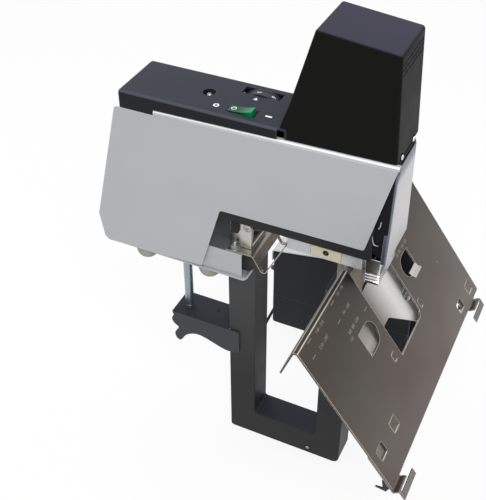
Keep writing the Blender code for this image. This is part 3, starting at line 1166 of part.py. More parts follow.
def pedal():
    left, right = PEDAL_X - PEDAL_HALF, PEDAL_X + PEDAL_HALF
    outline = [(PEDAL_FRONT, 0), (PEDAL_REAR, 0), (PEDAL_REAR, PEDAL_BACK), (PEDAL_CROWN_Y, PEDAL_CROWN),
               (PEDAL_BROW_Y, PEDAL_BROW), (PEDAL_JAW_Y, PEDAL_JAW),
               (PEDAL_FRONT, PEDAL_CHEEK)]
    base_part = plate("pedal_base", [outline], ALONG_X, left, right, PEDAL_BLACK)
    ease(base_part, PEDAL_WALL / 2)
    hollow = [(PEDAL_FRONT - OVERRUN, PEDAL_SILL), (PEDAL_FRONT + PEDAL_WALL, PEDAL_SILL),
              (PEDAL_FRONT + PEDAL_WALL, PEDAL_FLOOR), (PEDAL_REAR - PEDAL_WALL, PEDAL_FLOOR),
              (PEDAL_REAR - PEDAL_WALL, PEDAL_CROWN + OVERRUN), (PEDAL_FRONT - OVERRUN, PEDAL_CROWN + OVERRUN)]
    cut(base_part, plate("pedal_hollow", [hollow], ALONG_X, left + PEDAL_WALL, right - PEDAL_WALL))
    for side, wall in (("left", left), ("right", right)):
        cut(base_part, block(f"crease_{side}", (wall - CREASE_DEPTH, wall + CREASE_DEPTH),
                             (PEDAL_FRONT - OVERRUN, PEDAL_REAR + OVERRUN), (CREASE_Z, CREASE_Z + CREASE_HEIGHT)))
    gland_hole = rod("pedal_gland_hole", PEDAL_LEAD_RADIUS + 4 * GAP, ALONG_Y, (PEDAL_GLAND_X, PEDAL_GLAND_Z),
                     -PEDAL_REAR - OVERRUN, -PEDAL_REAR + PEDAL_WALL + OVERRUN, sides=SMALL_SIDES)
    cut(base_part, gland_hole)
    back = PEDAL_REAR + HOOD_LIFT
    path = [(back, HOOD_BACK_FOOT), (back, PEDAL_BACK + HOOD_LIFT, 2 * HOOD_SHEET), (PEDAL_CROWN_Y, PEDAL_CROWN + HOOD_LIFT),
            (PEDAL_BROW_Y, PEDAL_BROW + HOOD_LIFT), (HOOD_NOSE_Y, HOOD_NOSE)]
    hood = bent_sheet("pedal_hood", rounded(path, closed=False), HOOD_SHEET, PEDAL_X - HOOD_LIP_HALF,
                      PEDAL_X + HOOD_LIP_HALF, COVER_SILVER)
    for side in (-1, 1):
        edge = sorted((PEDAL_X + side * HOOD_HALF, PEDAL_X + side * (HOOD_LIP_HALF + OVERRUN)))
        for name, span in (("rear", (PEDAL_CROWN_Y, back + OVERRUN)), ("nose", (HOOD_NOSE_Y - OVERRUN, PEDAL_BROW_Y))):
            cut(hood, block(f"hood_trim_{name}", edge, span, (HOOD_BACK_FOOT - OVERRUN, PEDAL_CROWN + 2 * OVERRUN)))
    slope = Vector((TREADLE_FRONT - TREADLE_REAR, TREADLE_FRONT_TOP - TREADLE_REAR_TOP))
    across = Vector((slope.y, -slope.x)).normalized()
    section = [(TREADLE_FRONT, TREADLE_FRONT_TOP), (TREADLE_FRONT, TREADLE_FRONT_LOW),
               (TREADLE_REAR, TREADLE_REAR_LOW), (TREADLE_REAR, TREADLE_REAR_TOP)]
    front_edge = Vector((TREADLE_FRONT, TREADLE_FRONT_TOP))
    ribs = []
    for index in range(RIB_COUNT):
        start = front_edge - slope.normalized() * RIB_PITCH * (index + 0.5)
        for along, up in ((0, 0), (0.2, 1), (0.5, 1), (0.7, 0)):
            ribs.append(tuple(start - slope.normalized() * RIB_PITCH * along + across * RIB_HEIGHT * up))
    half = PEDAL_HALF - PEDAL_WALL - TREADLE_PLAY
    treadle = plate("pedal_treadle", [section + ribs[::-1]], ALONG_X, PEDAL_X - half, PEDAL_X + half, TREADLE_GREY)
    centre = (TREADLE_AXIS_Y, TREADLE_AXIS_Z)
    fuse(treadle, rod("treadle_hub", TREADLE_HUB, ALONG_X, centre, PEDAL_X - half, PEDAL_X + half))
    cut(treadle, rod("treadle_bore", PEDAL_PIN + GAP, ALONG_X, centre, PEDAL_X - half - OVERRUN,
                     PEDAL_X + half + OVERRUN, sides=SMALL_SIDES))
    hang(axis_empty("treadle_axis", (PEDAL_X, TREADLE_AXIS_Y, TREADLE_AXIS_Z)), treadle)
    reach = PEDAL_HALF - PEDAL_WALL - GAP
    rod("pedal_pin", PEDAL_PIN, ALONG_X, centre, PEDAL_X - reach, PEDAL_X + reach, ZINC, sides=SMALL_SIDES)
    seat = PEDAL_FLOOR + GAP
    lathe("pedal_spring", [(PEDAL_SPRING_RADIUS, PEDAL_SPRING_TOP), (PEDAL_SPRING_RADIUS, seat),
                           (PEDAL_SPRING_BORE, seat), (PEDAL_SPRING_BORE, PEDAL_SPRING_TOP)],
          Matrix.Translation((PEDAL_X, PEDAL_SPRING_Y, 0)), BRIGHT_STEEL, closed=True)
    block("pedal_switch", (PEDAL_X - SWITCH_BOX_HALF, PEDAL_X + SWITCH_BOX_HALF), (SWITCH_BOX_FRONT, SWITCH_BOX_REAR),
          (seat, SWITCH_BOX_TOP), HEAD_PLASTIC)


def glands():
    under = PLATE_TOP - PLATE_SHEET - GAP
    for name, place, radius, length in (("mains_gland", MAINS_Y, MAINS_RADIUS, MAINS_GLAND_LENGTH),
                                        ("lead_gland", PEDAL_LEAD_Y, PEDAL_LEAD_RADIUS, PEDAL_GLAND_LENGTH)):
        shank = radius + GAP
        flange = radius + GLAND_FLANGE
        lathe(name, [
            (0, PLATE_TOP + GLAND_FLANGE), (shank, PLATE_TOP + GLAND_FLANGE), (shank, under), (flange, under),
            (flange, under - GLAND_FLANGE), (radius * 1.45, under - GLAND_FLANGE), (radius * 1.1, under - length),
            (0, under - length)], Matrix.Translation((LEAD_X, place, 0)), CORD_BLACK, steps=SMALL_SIDES)
    radius = PEDAL_LEAD_RADIUS
    placing = Matrix.Translation((PEDAL_GLAND_X, PEDAL_REAR, PEDAL_GLAND_Z)) @ Matrix.Rotation(
        math.radians(-90), 4, "X")
    lathe("pedal_gland", [
        (0, PEDAL_GLAND_REACH), (radius * 1.1, PEDAL_GLAND_REACH), (radius * 1.5, GLAND_FLANGE),
        (radius + GLAND_FLANGE, GLAND_FLANGE), (radius + GLAND_FLANGE, GAP), (radius + 3 * GAP, GAP),
        (radius + 3 * GAP, -PEDAL_WALL), (0, -PEDAL_WALL)], placing, CORD_BLACK, steps=SMALL_SIDES)


def smooth_path(points, count):
    """Evenly spaced places on a smooth curve through the given points."""
    knots = [Vector(point) for point in points]
    knots = [2 * knots[0] - knots[1]] + knots + [2 * knots[-1] - knots[-2]]
    dense = []
    for p0, p1, p2, p3 in zip(knots, knots[1:], knots[2:], knots[3:]):
        for step in range(24):
            t = step / 24
            dense.append(((2 * p1) + (p2 - p0) * t + (2 * p0 - 5 * p1 + 4 * p2 - p3) * t * t
                          + (3 * p1 - p0 - 3 * p2 + p3) * t ** 3) / 2)
    dense.append(knots[-2])
    lengths = [0]
    for first, second in zip(dense, dense[1:]):
        lengths.append(lengths[-1] + (second - first).length)
    places = []
    index = 0
    for step in range(count):
        goal = lengths[-1] * step / (count - 1)
        while index < len(lengths) - 2 and lengths[index + 1] < goal:
            index += 1
        share = (goal - lengths[index]) / (lengths[index + 1] - lengths[index])
        places.append(dense[index].lerp(dense[index + 1], share))
    return places


def wound_path(centre_x, centre_y, mean_radius, turns, cord_radius, clockwise):
    """Two layers of loops: the spiral runs in on the floor, climbs a layer, and runs out again."""
    pitch = 2 * cord_radius + COIL_SPACE
    innermost = mean_radius - pitch * turns / 4
    steps = round(turns * COIL_LOOP_POINTS)
    places = []
    for step in range(steps + 1):
        turned = step / COIL_LOOP_POINTS
        from_middle = turned - turns / 2
        radius = innermost + pitch * abs(from_middle)
        climb = min(max(from_middle * 2 + 0.5, 0), 1)
        angle = math.pi + math.tau * turned * (-1 if clockwise else 1)
        places.append(Vector((centre_x + radius * math.cos(angle), centre_y + radius * math.sin(angle),
                              cord_radius + GAP + pitch * climb)))
    return places


def least_gap(places, cord_radius):
    """The least space between two stretches of a wound cord, measured between its points."""
    least = math.inf
    apart = COIL_LOOP_POINTS // 2
    for index, first in enumerate(places):
        for second, third in zip(places[index + apart:], places[index + apart + 1:]):
            side = third - second
            share = min(max((first - second).dot(side) / side.dot(side), 0), 1)
            least = min(least, (first - second - side * share).length)
    return least - 2 * cord_radius


def tube(name, places, radius, resolution):
    curve = bpy.data.curves.new(name, "CURVE")
    curve.dimensions = "3D"
    curve.bevel_depth = radius
    curve.bevel_resolution = resolution
    curve.use_fill_caps = True
    spline = curve.splines.new("POLY")
    spline.points.add(len(places) - 1)
    for point, place in zip(spline.points, places):
        point.co = (*place, 1)
    curve.materials.append(CORD_BLACK)
    cord = bpy.data.objects.new(name, curve)
    PARTS.objects.link(cord)
    return cord


def length_of(places):
    return sum((second - first).length for first, second in zip(places, places[1:]))


def mains_cord():
    radius = MAINS_RADIUS
    wound = wound_path(MAINS_COIL_X, MAINS_COIL_Y, MAINS_COIL_MEAN, MAINS_COIL_TURNS, radius, False)
    start = wound[0] + Vector((0, 2 * radius, 0))
    leave = wound[-1]
    tail = [leave + Vector(step) for step in MAINS_TAIL]
    plug_end = Vector((leave.x, PLUG_Y - CABLE_GAP, PLUG_RADIUS + GAP))
    tail.append(plug_end - Vector((0, 2 * radius, 0)))
    tail = smooth_path([leave] + tail, COIL_LOOP_POINTS // 2)[1:] + [plug_end]
    places = [start] + wound + tail
    print("mains coil least gap mm", round(least_gap(places, radius) * 1000, 2))
    tube("mains_coil", places, radius, 1)
    top = Vector((LEAD_X, MAINS_Y, PLATE_TOP - PLATE_SHEET - GAP - MAINS_GLAND_LENGTH - CABLE_GAP))
    join = start + Vector((0, CABLE_GAP, 0))
    route = [top] + [Vector(place) for place in MAINS_ROUTE] + [join + Vector((0, 2 * radius, 0))]
    lead = smooth_path(route, LEAD_POINTS) + [join]
    tube("mains_lead", lead, radius, 2)
    print("mains cord length m", round(length_of(places) + length_of(lead), 3))
    plug_z = PLUG_RADIUS + GAP
    placing = Matrix.Translation((leave.x, PLUG_Y, plug_z)) @ Matrix.Rotation(math.radians(-90), 4, "X")
    plug = lathe("mains_plug", [
        (0, PLUG_NECK + PLUG_LENGTH), (PLUG_RADIUS * 0.94, PLUG_NECK + PLUG_LENGTH),
        (PLUG_RADIUS, PLUG_NECK + PLUG_LENGTH * 0.94), (PLUG_RADIUS, PLUG_NECK + PLUG_LENGTH * 0.55),
        (PLUG_RADIUS * 0.72, PLUG_NECK + PLUG_LENGTH * 0.25), (PLUG_RADIUS * 0.4, PLUG_NECK),
        (PLUG_RADIUS * 0.28, 0), (0, 0)], placing, CORD_BLACK)
    for side in (-1, 1):
        pin = rod("plug_pin", PLUG_PIN_RADIUS, placing, (side * PLUG_PIN_SPREAD, 0),
                  PLUG_NECK + PLUG_LENGTH - PLUG_PIN_RADIUS, PLUG_NECK + PLUG_LENGTH + PLUG_PIN_LENGTH,
                  sides=SMALL_SIDES)
        fuse(plug, pin)


def pedal_cord():
    radius = PEDAL_LEAD_RADIUS
    wound = wound_path(PEDAL_COIL_X, PEDAL_COIL_Y, PEDAL_COIL_MEAN, PEDAL_COIL_TURNS, radius, True)
    start = wound[0] - Vector((0, 2 * radius, 0))
    leave = wound[-1]
    gland_end = Vector((PEDAL_GLAND_X, PEDAL_REAR + PEDAL_GLAND_REACH + CABLE_GAP, PEDAL_GLAND_Z))
    tail = [leave + Vector(step) for step in PEDAL_TAIL] + [gland_end + Vector((0, 2 * radius, 0))]
    tail = smooth_path([leave] + tail, COIL_LOOP_POINTS)[1:] + [gland_end]
    places = [start] + wound + tail
    print("pedal coil least gap mm", round(least_gap(places, radius) * 1000, 2))
    tube("pedal_coil", places, radius, 1)
    top = Vector((LEAD_X, PEDAL_LEAD_Y, PLATE_TOP - PLATE_SHEET - GAP - PEDAL_GLAND_LENGTH - CABLE_GAP))
    join = start - Vector((0, CABLE_GAP, 0))
    route = [top] + [Vector(place) for place in PEDAL_ROUTE] + [join - Vector((0, 2 * radius, 0))]
    lead = smooth_path(route, LEAD_POINTS * 2) + [join]
    tube("pedal_lead", lead, radius, 2)
    print("pedal cord length m", round(length_of(places) + length_of(lead), 3))


def build():
    for old in list(bpy.data.objects):
        bpy.data.objects.remove(old)
    bpy.context.scene.collection.children.link(PARTS)
    bpy.context.scene.collection.children.link(CUTTERS)
    c_frame()
    clamp()
    side_covers()
    chassis()
    base()
    body_mount()
    top_panel()
    switch()
    dial()
    control_board()
    head_cover()
    front_guard()
    solenoid()
    magazine()
    anvil()
    table()
    saddle_support()
    pedal()
    glands()
    mains_cord()
    pedal_cord()


build()
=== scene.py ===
import math

import bmesh
import bpy
from mathutils import Matrix, Vector


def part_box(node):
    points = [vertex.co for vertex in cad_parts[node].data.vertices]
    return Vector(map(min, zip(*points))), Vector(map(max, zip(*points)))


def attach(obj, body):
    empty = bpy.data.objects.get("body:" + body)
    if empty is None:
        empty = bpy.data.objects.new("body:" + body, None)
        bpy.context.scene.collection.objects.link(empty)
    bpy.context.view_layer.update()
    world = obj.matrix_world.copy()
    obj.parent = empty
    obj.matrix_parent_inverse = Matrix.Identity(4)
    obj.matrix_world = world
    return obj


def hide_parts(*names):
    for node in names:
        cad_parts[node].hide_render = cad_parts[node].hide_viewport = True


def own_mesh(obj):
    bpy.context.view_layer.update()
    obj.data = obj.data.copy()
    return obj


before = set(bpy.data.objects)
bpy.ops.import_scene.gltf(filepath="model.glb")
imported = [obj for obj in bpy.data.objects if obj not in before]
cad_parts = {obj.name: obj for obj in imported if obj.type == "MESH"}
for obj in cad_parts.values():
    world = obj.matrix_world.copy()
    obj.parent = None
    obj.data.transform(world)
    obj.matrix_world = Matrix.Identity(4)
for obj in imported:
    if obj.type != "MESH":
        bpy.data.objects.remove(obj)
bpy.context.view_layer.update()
scene = bpy.context.scene
scene.view_settings.view_transform = "Standard"


def at(x, y, z):
    """A placing at a point."""
    return Matrix.Translation((x, y, z))


def spun(degrees, axis):
    """A placing turned about an axis."""
    return Matrix.Rotation(math.radians(degrees), 4, axis)


def placed(name, data):
    """A new object of the scene, at the origin."""
    thing = bpy.data.objects.new(name, data)
    scene.collection.objects.link(thing)
    return thing


# ---------------------------------------------------------------------------------------------
# The view: from the operator's left and above, with a long lens. Its place and turn come from
# the machine's own parallel edges, for a picture of 486 by 500.
frame_height_pixels = 500
focal_pixels = 917.6
sensor_width = 36.0
view_place = (-0.6805, -0.2638, 0.9001)
view_azimuth, view_elevation, view_roll = -64.19, 39.68, -0.37

lens = bpy.data.cameras.new("view")
lens.sensor_width = sensor_width
lens.lens = focal_pixels * sensor_width / frame_height_pixels
lens.clip_start, lens.clip_end = 0.01, 50
view = placed("view", lens)
view.matrix_world = (
    at(*view_place) @ spun(view_azimuth, "Z") @ spun(90 - view_elevation, "X") @ spun(view_roll, "Z"))
scene.camera = view


class Wire:
    """A shader socket. Arithmetic on wires adds Math nodes, and node() adds any other kind."""

    def __init__(self, tree, socket=None):
        self.tree = tree
        self.socket = socket

    def node(self, kind, settings=(), sockets=(), output=0):
        """Adds a node: its settings first, then the values or links of its sockets."""
        made = self.tree.nodes.new("ShaderNode" + kind)
        for name, value in dict(settings).items():
            setattr(made, name, value)
        for name, value in dict(sockets).items():
            if isinstance(value, Wire):
                self.tree.links.new(value.socket, made.inputs[name])
            else:
                made.inputs[name].default_value = value
        return Wire(self.tree, made.outputs[output])

    def maths(self, operation, *values, clamped=False):
        return self.node("Math", {"operation": operation, "use_clamp": clamped}, enumerate(values))

    def __add__(self, other):
        return self.maths("ADD", self, other)

    def __sub__(self, other):
        return self.maths("SUBTRACT", self, other)

    def __rsub__(self, other):
        return self.maths("SUBTRACT", other, self)

    def __mul__(self, other):
        return self.maths("MULTIPLY", self, other)

    def held(self):
        """The same value, kept between 0 and 1."""
        return self.maths("ADD", self, 0.0, clamped=True)

    def mix(self, first, second):
        """The first colour where this wire is 0, the second where it is 1."""
        return self.node("Mix", {"data_type": "RGBA"}, {0: self, 6: first, 7: second}, output=2)

    def part(self, axis):
        """One coordinate of a vector."""
        return self.node("SeparateXYZ", {}, {"Vector": self}, output=axis)

    def noise(self, places, scale, detail=2.0):
        return self.node("TexNoise", {}, {"Vector": places, "Scale": scale, "Detail": detail})


# The studio: a wide white floor and white surroundings. A camera, mirror or glass ray sees them
# white; the light that they give is softer, and the floor keeps the machine's faint shadow.
floor_reach = 12.0
floor_white = (0.8, 0.8, 0.8, 1)
pure_white = (1, 1, 1, 1)
surround_light = 0.62
shadow_hidden = 0.88


def seen_directly(start):
    """1 for a ray from the camera, a mirror or glass, 0 for light on its way."""
    rays = [start.node("LightPath", output=name)
            for name in ("Is Camera Ray", "Is Glossy Ray", "Is Transmission Ray")]
    return rays[0].maths("MAXIMUM", rays[0], rays[1].maths("MAXIMUM", rays[1], rays[2]))


floor_paint = bpy.data.materials.new("studio_floor")
floor_paint.use_nodes = True
floor_paint.node_tree.nodes.remove(floor_paint.node_tree.nodes["Principled BSDF"])
start = Wire(floor_paint.node_tree)
surface = start.node("MixShader", {}, {
    0: seen_directly(start) * shadow_hidden,
    1: start.node("BsdfDiffuse", {}, {"Color": floor_white}),
    2: start.node("Emission", {}, {"Color": pure_white, "Strength": 1.0})})
start.tree.links.new(surface.socket, start.tree.nodes["Material Output"].inputs["Surface"])
floor_mesh = bpy.data.meshes.new("studio_floor")
floor_corners = ((-1, -1), (1, -1), (1, 1), (-1, 1))
floor_mesh.from_pydata([(x * floor_reach, y * floor_reach, 0) for x, y in floor_corners], [], [(0, 1, 2, 3)])
floor_mesh.materials.append(floor_paint)
floor = placed("studio_floor", floor_mesh)

world = bpy.data.worlds.new("studio")
world.use_nodes = True
scene.world = world
start = Wire(world.node_tree)
brightness = seen_directly(start) * (1 - surround_light) + surround_light
background = world.node_tree.nodes["Background"]
background.inputs["Color"].default_value = pure_white
world.node_tree.links.new(brightness.socket, background.inputs["Strength"])

for name, place, aim, size, power in (
        ("key_lamp", (-1.3, -0.7, 1.9), (0, 0, 0.35), 1.3, 24),
        ("top_lamp", (0.3, 0.9, 2.2), (0, 0, 0.45), 1.4, 20),
        ("front_lamp", (0.8, -1.6, 1.1), (0, -0.05, 0.3), 1.0, 6)):
    lamp_data = bpy.data.lights.new(name, "AREA")
    lamp_data.shape = "DISK"
    lamp_data.size = size
    lamp_data.energy = power
    lamp = placed(name, lamp_data)
    lamp.location = place
    lamp.rotation_euler = (Vector(aim) - Vector(place)).to_track_quat("-Z", "Y").to_euler()

# ---------------------------------------------------------------------------------------------
# The mains lead and the pedal lead: round black cable, moulded in soft plastic. Each leaves its
# strain relief under the body, runs along the floor, and its spare length lies in a tied coil.
clearance = 0.0003
lead_x = 0.0243
mains_y, pedal_lead_y = 0.0605, 0.0735
mains_radius, pedal_lead_radius = 0.0035, 0.002
body_underside = 0.2597
mains_relief, pedal_relief = 0.035, 0.022
relief_flange = 0.003
coil_space = 0.0008
loop_points = 24
mains_middle, mains_coil_radius, mains_turns = (0.092, -0.078), 0.0385, 5.5
pedal_middle, pedal_coil_radius, pedal_turns = (0.318, 0.126), 0.022, 6.0
tie_half_width, tie_lift, tie_head_height = 0.0024, 0.00012, 0.0028
tie_slack, tie_sink, tie_foot_corner, tie_top_corner = 0.0005, 0.0002, 0.0004, 0.0008
mains_route = ((0.0243, 0.0605, 0.180), (0.0243, 0.0605, 0.120), (0.0243, 0.0604, 0.060),
               (0.0247, 0.0570, 0.030), (0.0256, 0.0470, 0.0115), (0.0275, 0.0310, 0.0043),
               (0.0300, 0.0130, 0.0038), (0.0335, -0.0060, 0.0038), (0.0375, -0.0250, 0.0038),
               (0.0410, -0.0430, 0.0038), (0.0425, -0.0520, 0.0038))
pedal_route = ((0.0243, 0.0735, 0.180), (0.0243, 0.0735, 0.110), (0.0244, 0.0735, 0.050),
               (0.0262, 0.0737, 0.022), (0.0335, 0.0748, 0.0065), (0.0500, 0.0785, 0.0024),
               (0.0900, 0.0940, 0.0023), (0.1350, 0.1060, 0.0023), (0.1800, 0.1105, 0.0023),
               (0.2250, 0.1115, 0.0023), (0.2600, 0.1115, 0.0023), (0.2780, 0.1130, 0.0023))
mains_tail = ((0.0, 0.012, 0.0), (0.0, 0.026, 0.0022), (0.0, 0.040, 0.0058))
pedal_tail = ((-0.0012, 0.0100, -0.0008), (-0.0080, 0.0200, -0.0020), (-0.0190, 0.0215, 0.0010),
              (-0.0290, 0.0150, 0.0080), (-0.0338, 0.0060, 0.0122))
plug_y, plug_radius, plug_length, plug_neck = -0.020, 0.0185, 0.036, 0.010
plug_pin_radius, plug_pin_length, plug_pin_spread = 0.0024, 0.019, 0.0095
plug_ease, plug_shoulder, pin_ease, pin_root = 0.0006, 0.002, 0.0012, 0.001
plug_ring_gap, plug_ring_pitch, plug_ring_drops = 0.0005, 0.0024, (0.0012, 0.0014, 0.0021)
pedal_entry = Vector((0.255, 0.104, 0.020))
pedal_entry_reach = 0.012


def linear(red, green, blue):
    """A colour given as 0 to 255 on screen, as the shader's own linear values."""
    shares = [value / 255 for value in (red, green, blue)]
    return tuple(s / 12.92 if s < 0.04045 else ((s + 0.055) / 1.055) ** 2.4 for s in shares) + (1,)


def toned(colour, factor):
    """The colour, lighter or darker by a factor."""
    return tuple(min(value * factor, 1) for value in colour[:3]) + (1,)


def finish(slot, colour, roughness, metallic=0.0, patch=0.06, grain=900, depth=0.00005, stretch=None,
           edge=None, edge_width=0.0007, coat=0.0, shine=0.5, paint=None, kind=""):
    """A surface with soft patches of tone, a fine grain or brushing, and paler edges: partly wear, partly a
    painted highlight where light catches them.
    """
    material = bpy.data.materials.new(slot + kind)
    material.use_nodes = True
    material["slot"] = slot
    shader = material.node_tree.nodes["Principled BSDF"]
    start = Wire(material.node_tree)
    places = start.node("TexCoord", output="Object")
    broad = ((start.noise(places, 22, 3) - 0.3) * 2.5).held()
    along = places if stretch is None else start.node("Mapping", {}, {"Vector": places, "Scale": stretch})
    fine = start.noise(along, grain)
    shade = (broad * 0.55 + fine * 0.45).held()
    body = shade.mix(toned(linear(*colour), 1 - patch), toned(linear(*colour), 1 + patch))
    if paint is not None:
        body = paint(start, places, body)
    rough = (fine - 0.5) * 0.14 + (broad - 0.5) * 0.08 + roughness
    # Paler edges: real wear together with a painted highlight along them.
    if edge is not None:
        rolled = start.node("Bevel", {"samples": 4}, {"Radius": edge_width})
        plain = start.node("NewGeometry", output="Normal")
        meeting = start.node("VectorMath", {"operation": "DOT_PRODUCT"}, {0: rolled, 1: plain},
                             output="Value")
        worn_and_lit_edge = ((1 - meeting) * 5 * (broad * 0.7 + 0.4)).held()
        body = worn_and_lit_edge.mix(body, linear(*edge))
    bump = start.node("Bump", {}, {"Strength": 0.6, "Distance": depth, "Height": fine})
    for name, wire in (("Base Color", body), ("Roughness", rough.held()), ("Normal", bump)):
        material.node_tree.links.new(wire.socket, shader.inputs[name])
    shader.inputs["Metallic"].default_value = metallic
    shader.inputs["Coat Weight"].default_value = coat
    shader.inputs["Coat Roughness"].default_value = 0.12
    shader.inputs["Specular IOR Level"].default_value = shine
    return material


def upward(start):
    """How far the surface looks up: 1 for a level top."""
    return start.node("TexCoord", output="Normal").part("Z")


def between(wire, low, high, softness):
    """1 where the wire lies between the two values, fading to 0 outside them."""
    rising = ((wire - low) * (1 / softness) + 0.5).held()
    return rising * ((high - wire) * (1 / softness) + 0.5).held()


def piece(name, data, material, body, *nodes, bevel=0.0, segments=2, angle=38):
    """Puts a mesh or curve in the scene on the body it moves with, in place of the nodes it shows."""
    made = placed(name, data)
    data.materials.clear()
    data.materials.append(material)
    if made.type == "MESH":
        data.shade_smooth()
        if bevel:
            soften(made, bevel, segments, angle)
        else:
            data.set_sharp_from_angle(angle=math.radians(angle))
    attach(made, body)
    if nodes:
        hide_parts(*nodes)
    return made


def soften(made, width, segments, angle):
    """Rounds the edges sharper than the angle, as pressing, machining or moulding leaves them."""
    step = made.modifiers.new("eased_edges", "BEVEL")
    step.width = width
    step.segments = segments
    step.limit_method = "ANGLE"
    step.angle_limit = math.radians(angle)
    step.harden_normals = True


def smooth_path(points, count):
    """Evenly spaced places on a smooth curve through the given points."""
    knots = [Vector(point) for point in points]
    knots = [2 * knots[0] - knots[1]] + knots + [2 * knots[-1] - knots[-2]]
    dense = []
    for p0, p1, p2, p3 in zip(knots, knots[1:], knots[2:], knots[3:]):
        for step in range(24):
            t = step / 24
            dense.append(((2 * p1) + (p2 - p0) * t + (2 * p0 - 5 * p1 + 4 * p2 - p3) * t * t
                          + (3 * p1 - p0 - 3 * p2 + p3) * t ** 3) / 2)
    dense.append(knots[-2])
    lengths = [0]
    for first, second in zip(dense, dense[1:]):
        lengths.append(lengths[-1] + (second - first).length)
    places = []
    index = 0
    for step in range(count):
        goal = lengths[-1] * step / (count - 1)
        while index < len(lengths) - 2 and lengths[index + 1] < goal:
            index += 1
        share = (goal - lengths[index]) / (lengths[index + 1] - lengths[index])
        places.append(dense[index].lerp(dense[index + 1], share))
    return places


def wound_path(centre, mean_radius, turns, cord_radius, hand):
    """Two layers of loops: in along the floor, up a layer, and out again."""
    pitch = 2 * cord_radius + coil_space
    innermost = mean_radius - pitch * turns / 4
    places = []
    for step in range(round(turns * loop_points) + 1):
        turned_by = step / loop_points
        from_middle = turned_by - turns / 2
        radius = innermost + pitch * abs(from_middle)
        climb = min(max(from_middle * 2 + 0.5, 0), 1)
        angle = math.pi + math.tau * turned_by * hand
        places.append(Vector((centre[0] + radius * math.cos(angle), centre[1] + radius * math.sin(angle),
                              cord_radius + clearance + pitch * climb)))
    return places


def length_of(places):
    return sum((second - first).length for first, second in zip(places, places[1:]))


def round_cord(name, places, radius, material, body, *nodes):
    """A cable along the given places, smooth between them."""
    curve = bpy.data.curves.new(name, "CURVE")
    curve.dimensions = "3D"
    curve.bevel_depth = radius
    curve.bevel_resolution = 4
    curve.resolution_u = 3
    curve.use_fill_caps = True
    spline = curve.splines.new("BEZIER")
    spline.bezier_points.add(len(places) - 1)
    for point, place in zip(spline.bezier_points, places):
        point.co = place
        point.handle_left_type = point.handle_right_type = "AUTO"
    return piece(name, curve, material, body, *nodes)


def turned(profile, placing=Matrix.Identity(4), steps=64, closed=False):
    """A turned or moulded round piece: a profile of (radius, height) spun about the third axis."""
    shape = bmesh.new()
    verts = [shape.verts.new((radius, 0, height)) for radius, height in profile]
    edges = [shape.edges.new(pair) for pair in zip(verts, verts[1:])]
    if closed:
        edges.append(shape.edges.new((verts[-1], verts[0])))
    bmesh.ops.spin(shape, geom=verts + edges, cent=(0, 0, 0), axis=(0, 0, 1), angle=math.tau, steps=steps,
                   use_merge=True, use_duplicate=False)
    bmesh.ops.remove_doubles(shape, verts=shape.verts, dist=0.000005)
    return mesh_from(shape, placing)


def mesh_from(shape, placing=Matrix.Identity(4)):
    """Moves a shape to its place and hands over its mesh."""
    bmesh.ops.transform(shape, matrix=placing, verts=shape.verts)
    bmesh.ops.recalc_face_normals(shape, faces=shape.faces)
    mesh = bpy.data.meshes.new("shape")
    shape.to_mesh(mesh)
    shape.free()
    return mesh


def joined(*meshes):
    """Several shapes as one mesh."""
    shape = bmesh.new()
    for mesh in meshes:
        shape.from_mesh(mesh)
    whole = bpy.data.meshes.new("joined")
    shape.to_mesh(whole)
    shape.free()
    return whole


cable_black = finish("cord_black", (27, 27, 28), 0.55, grain=1500, depth=0.00002, shine=0.25)
relief_black = finish("cord_black", (24, 24, 25), 0.5, grain=1100, depth=0.00003, shine=0.25, kind="_relief")
pin_metal = finish("cord_black", (190, 188, 182), 0.3, metallic=1.0, stretch=(400, 20, 400), kind="_pins")

mains_top = Vector((lead_x, mains_y, body_underside - mains_relief - clearance))
mains_coil = wound_path(mains_middle, mains_coil_radius, mains_turns, mains_radius, 1)
mains_join = mains_coil[0] + Vector((0, 2 * mains_radius, 0))
mains_lead = smooth_path([mains_top] + [Vector(place) for place in mains_route]
                         + [mains_join + Vector((0, 2 * mains_radius, 0))], 32)
leave = mains_coil[-1]
plug_end = Vector((leave.x, plug_y - clearance, plug_radius + clearance))
mains_end = smooth_path([leave] + [leave + Vector(step) for step in mains_tail]
                        + [plug_end - Vector((0, 2 * mains_radius, 0))], loop_points // 2)[1:] + [plug_end]
mains_places = mains_lead + [mains_join] + mains_coil + mains_end

pedal_top = Vector((lead_x, pedal_lead_y, body_underside - pedal_relief - clearance))
pedal_coil = wound_path(pedal_middle, pedal_coil_radius, pedal_turns, pedal_lead_radius, -1)
pedal_join = pedal_coil[0] - Vector((0, 2 * pedal_lead_radius, 0))
pedal_lead = smooth_path([pedal_top] + [Vector(place) for place in pedal_route]
                         + [pedal_join - Vector((0, 2 * pedal_lead_radius, 0))], 40)
leave = pedal_coil[-1]
entry_end = pedal_entry + Vector((0, pedal_entry_reach + clearance, 0))
pedal_end = smooth_path([leave] + [leave + Vector(step) for step in pedal_tail]
                        + [entry_end + Vector((0, 2 * pedal_lead_radius, 0))], loop_points)[1:] + [entry_end]
pedal_places = pedal_lead + [pedal_join] + pedal_coil + pedal_end

mains_cord = round_cord("mains_cord", mains_places, mains_radius, cable_black, "frame", "mains_lead",
                        "mains_coil")
pedal_cord = round_cord("pedal_cord", pedal_places, pedal_lead_radius, cable_black, "frame", "pedal_lead",
                        "pedal_coil")

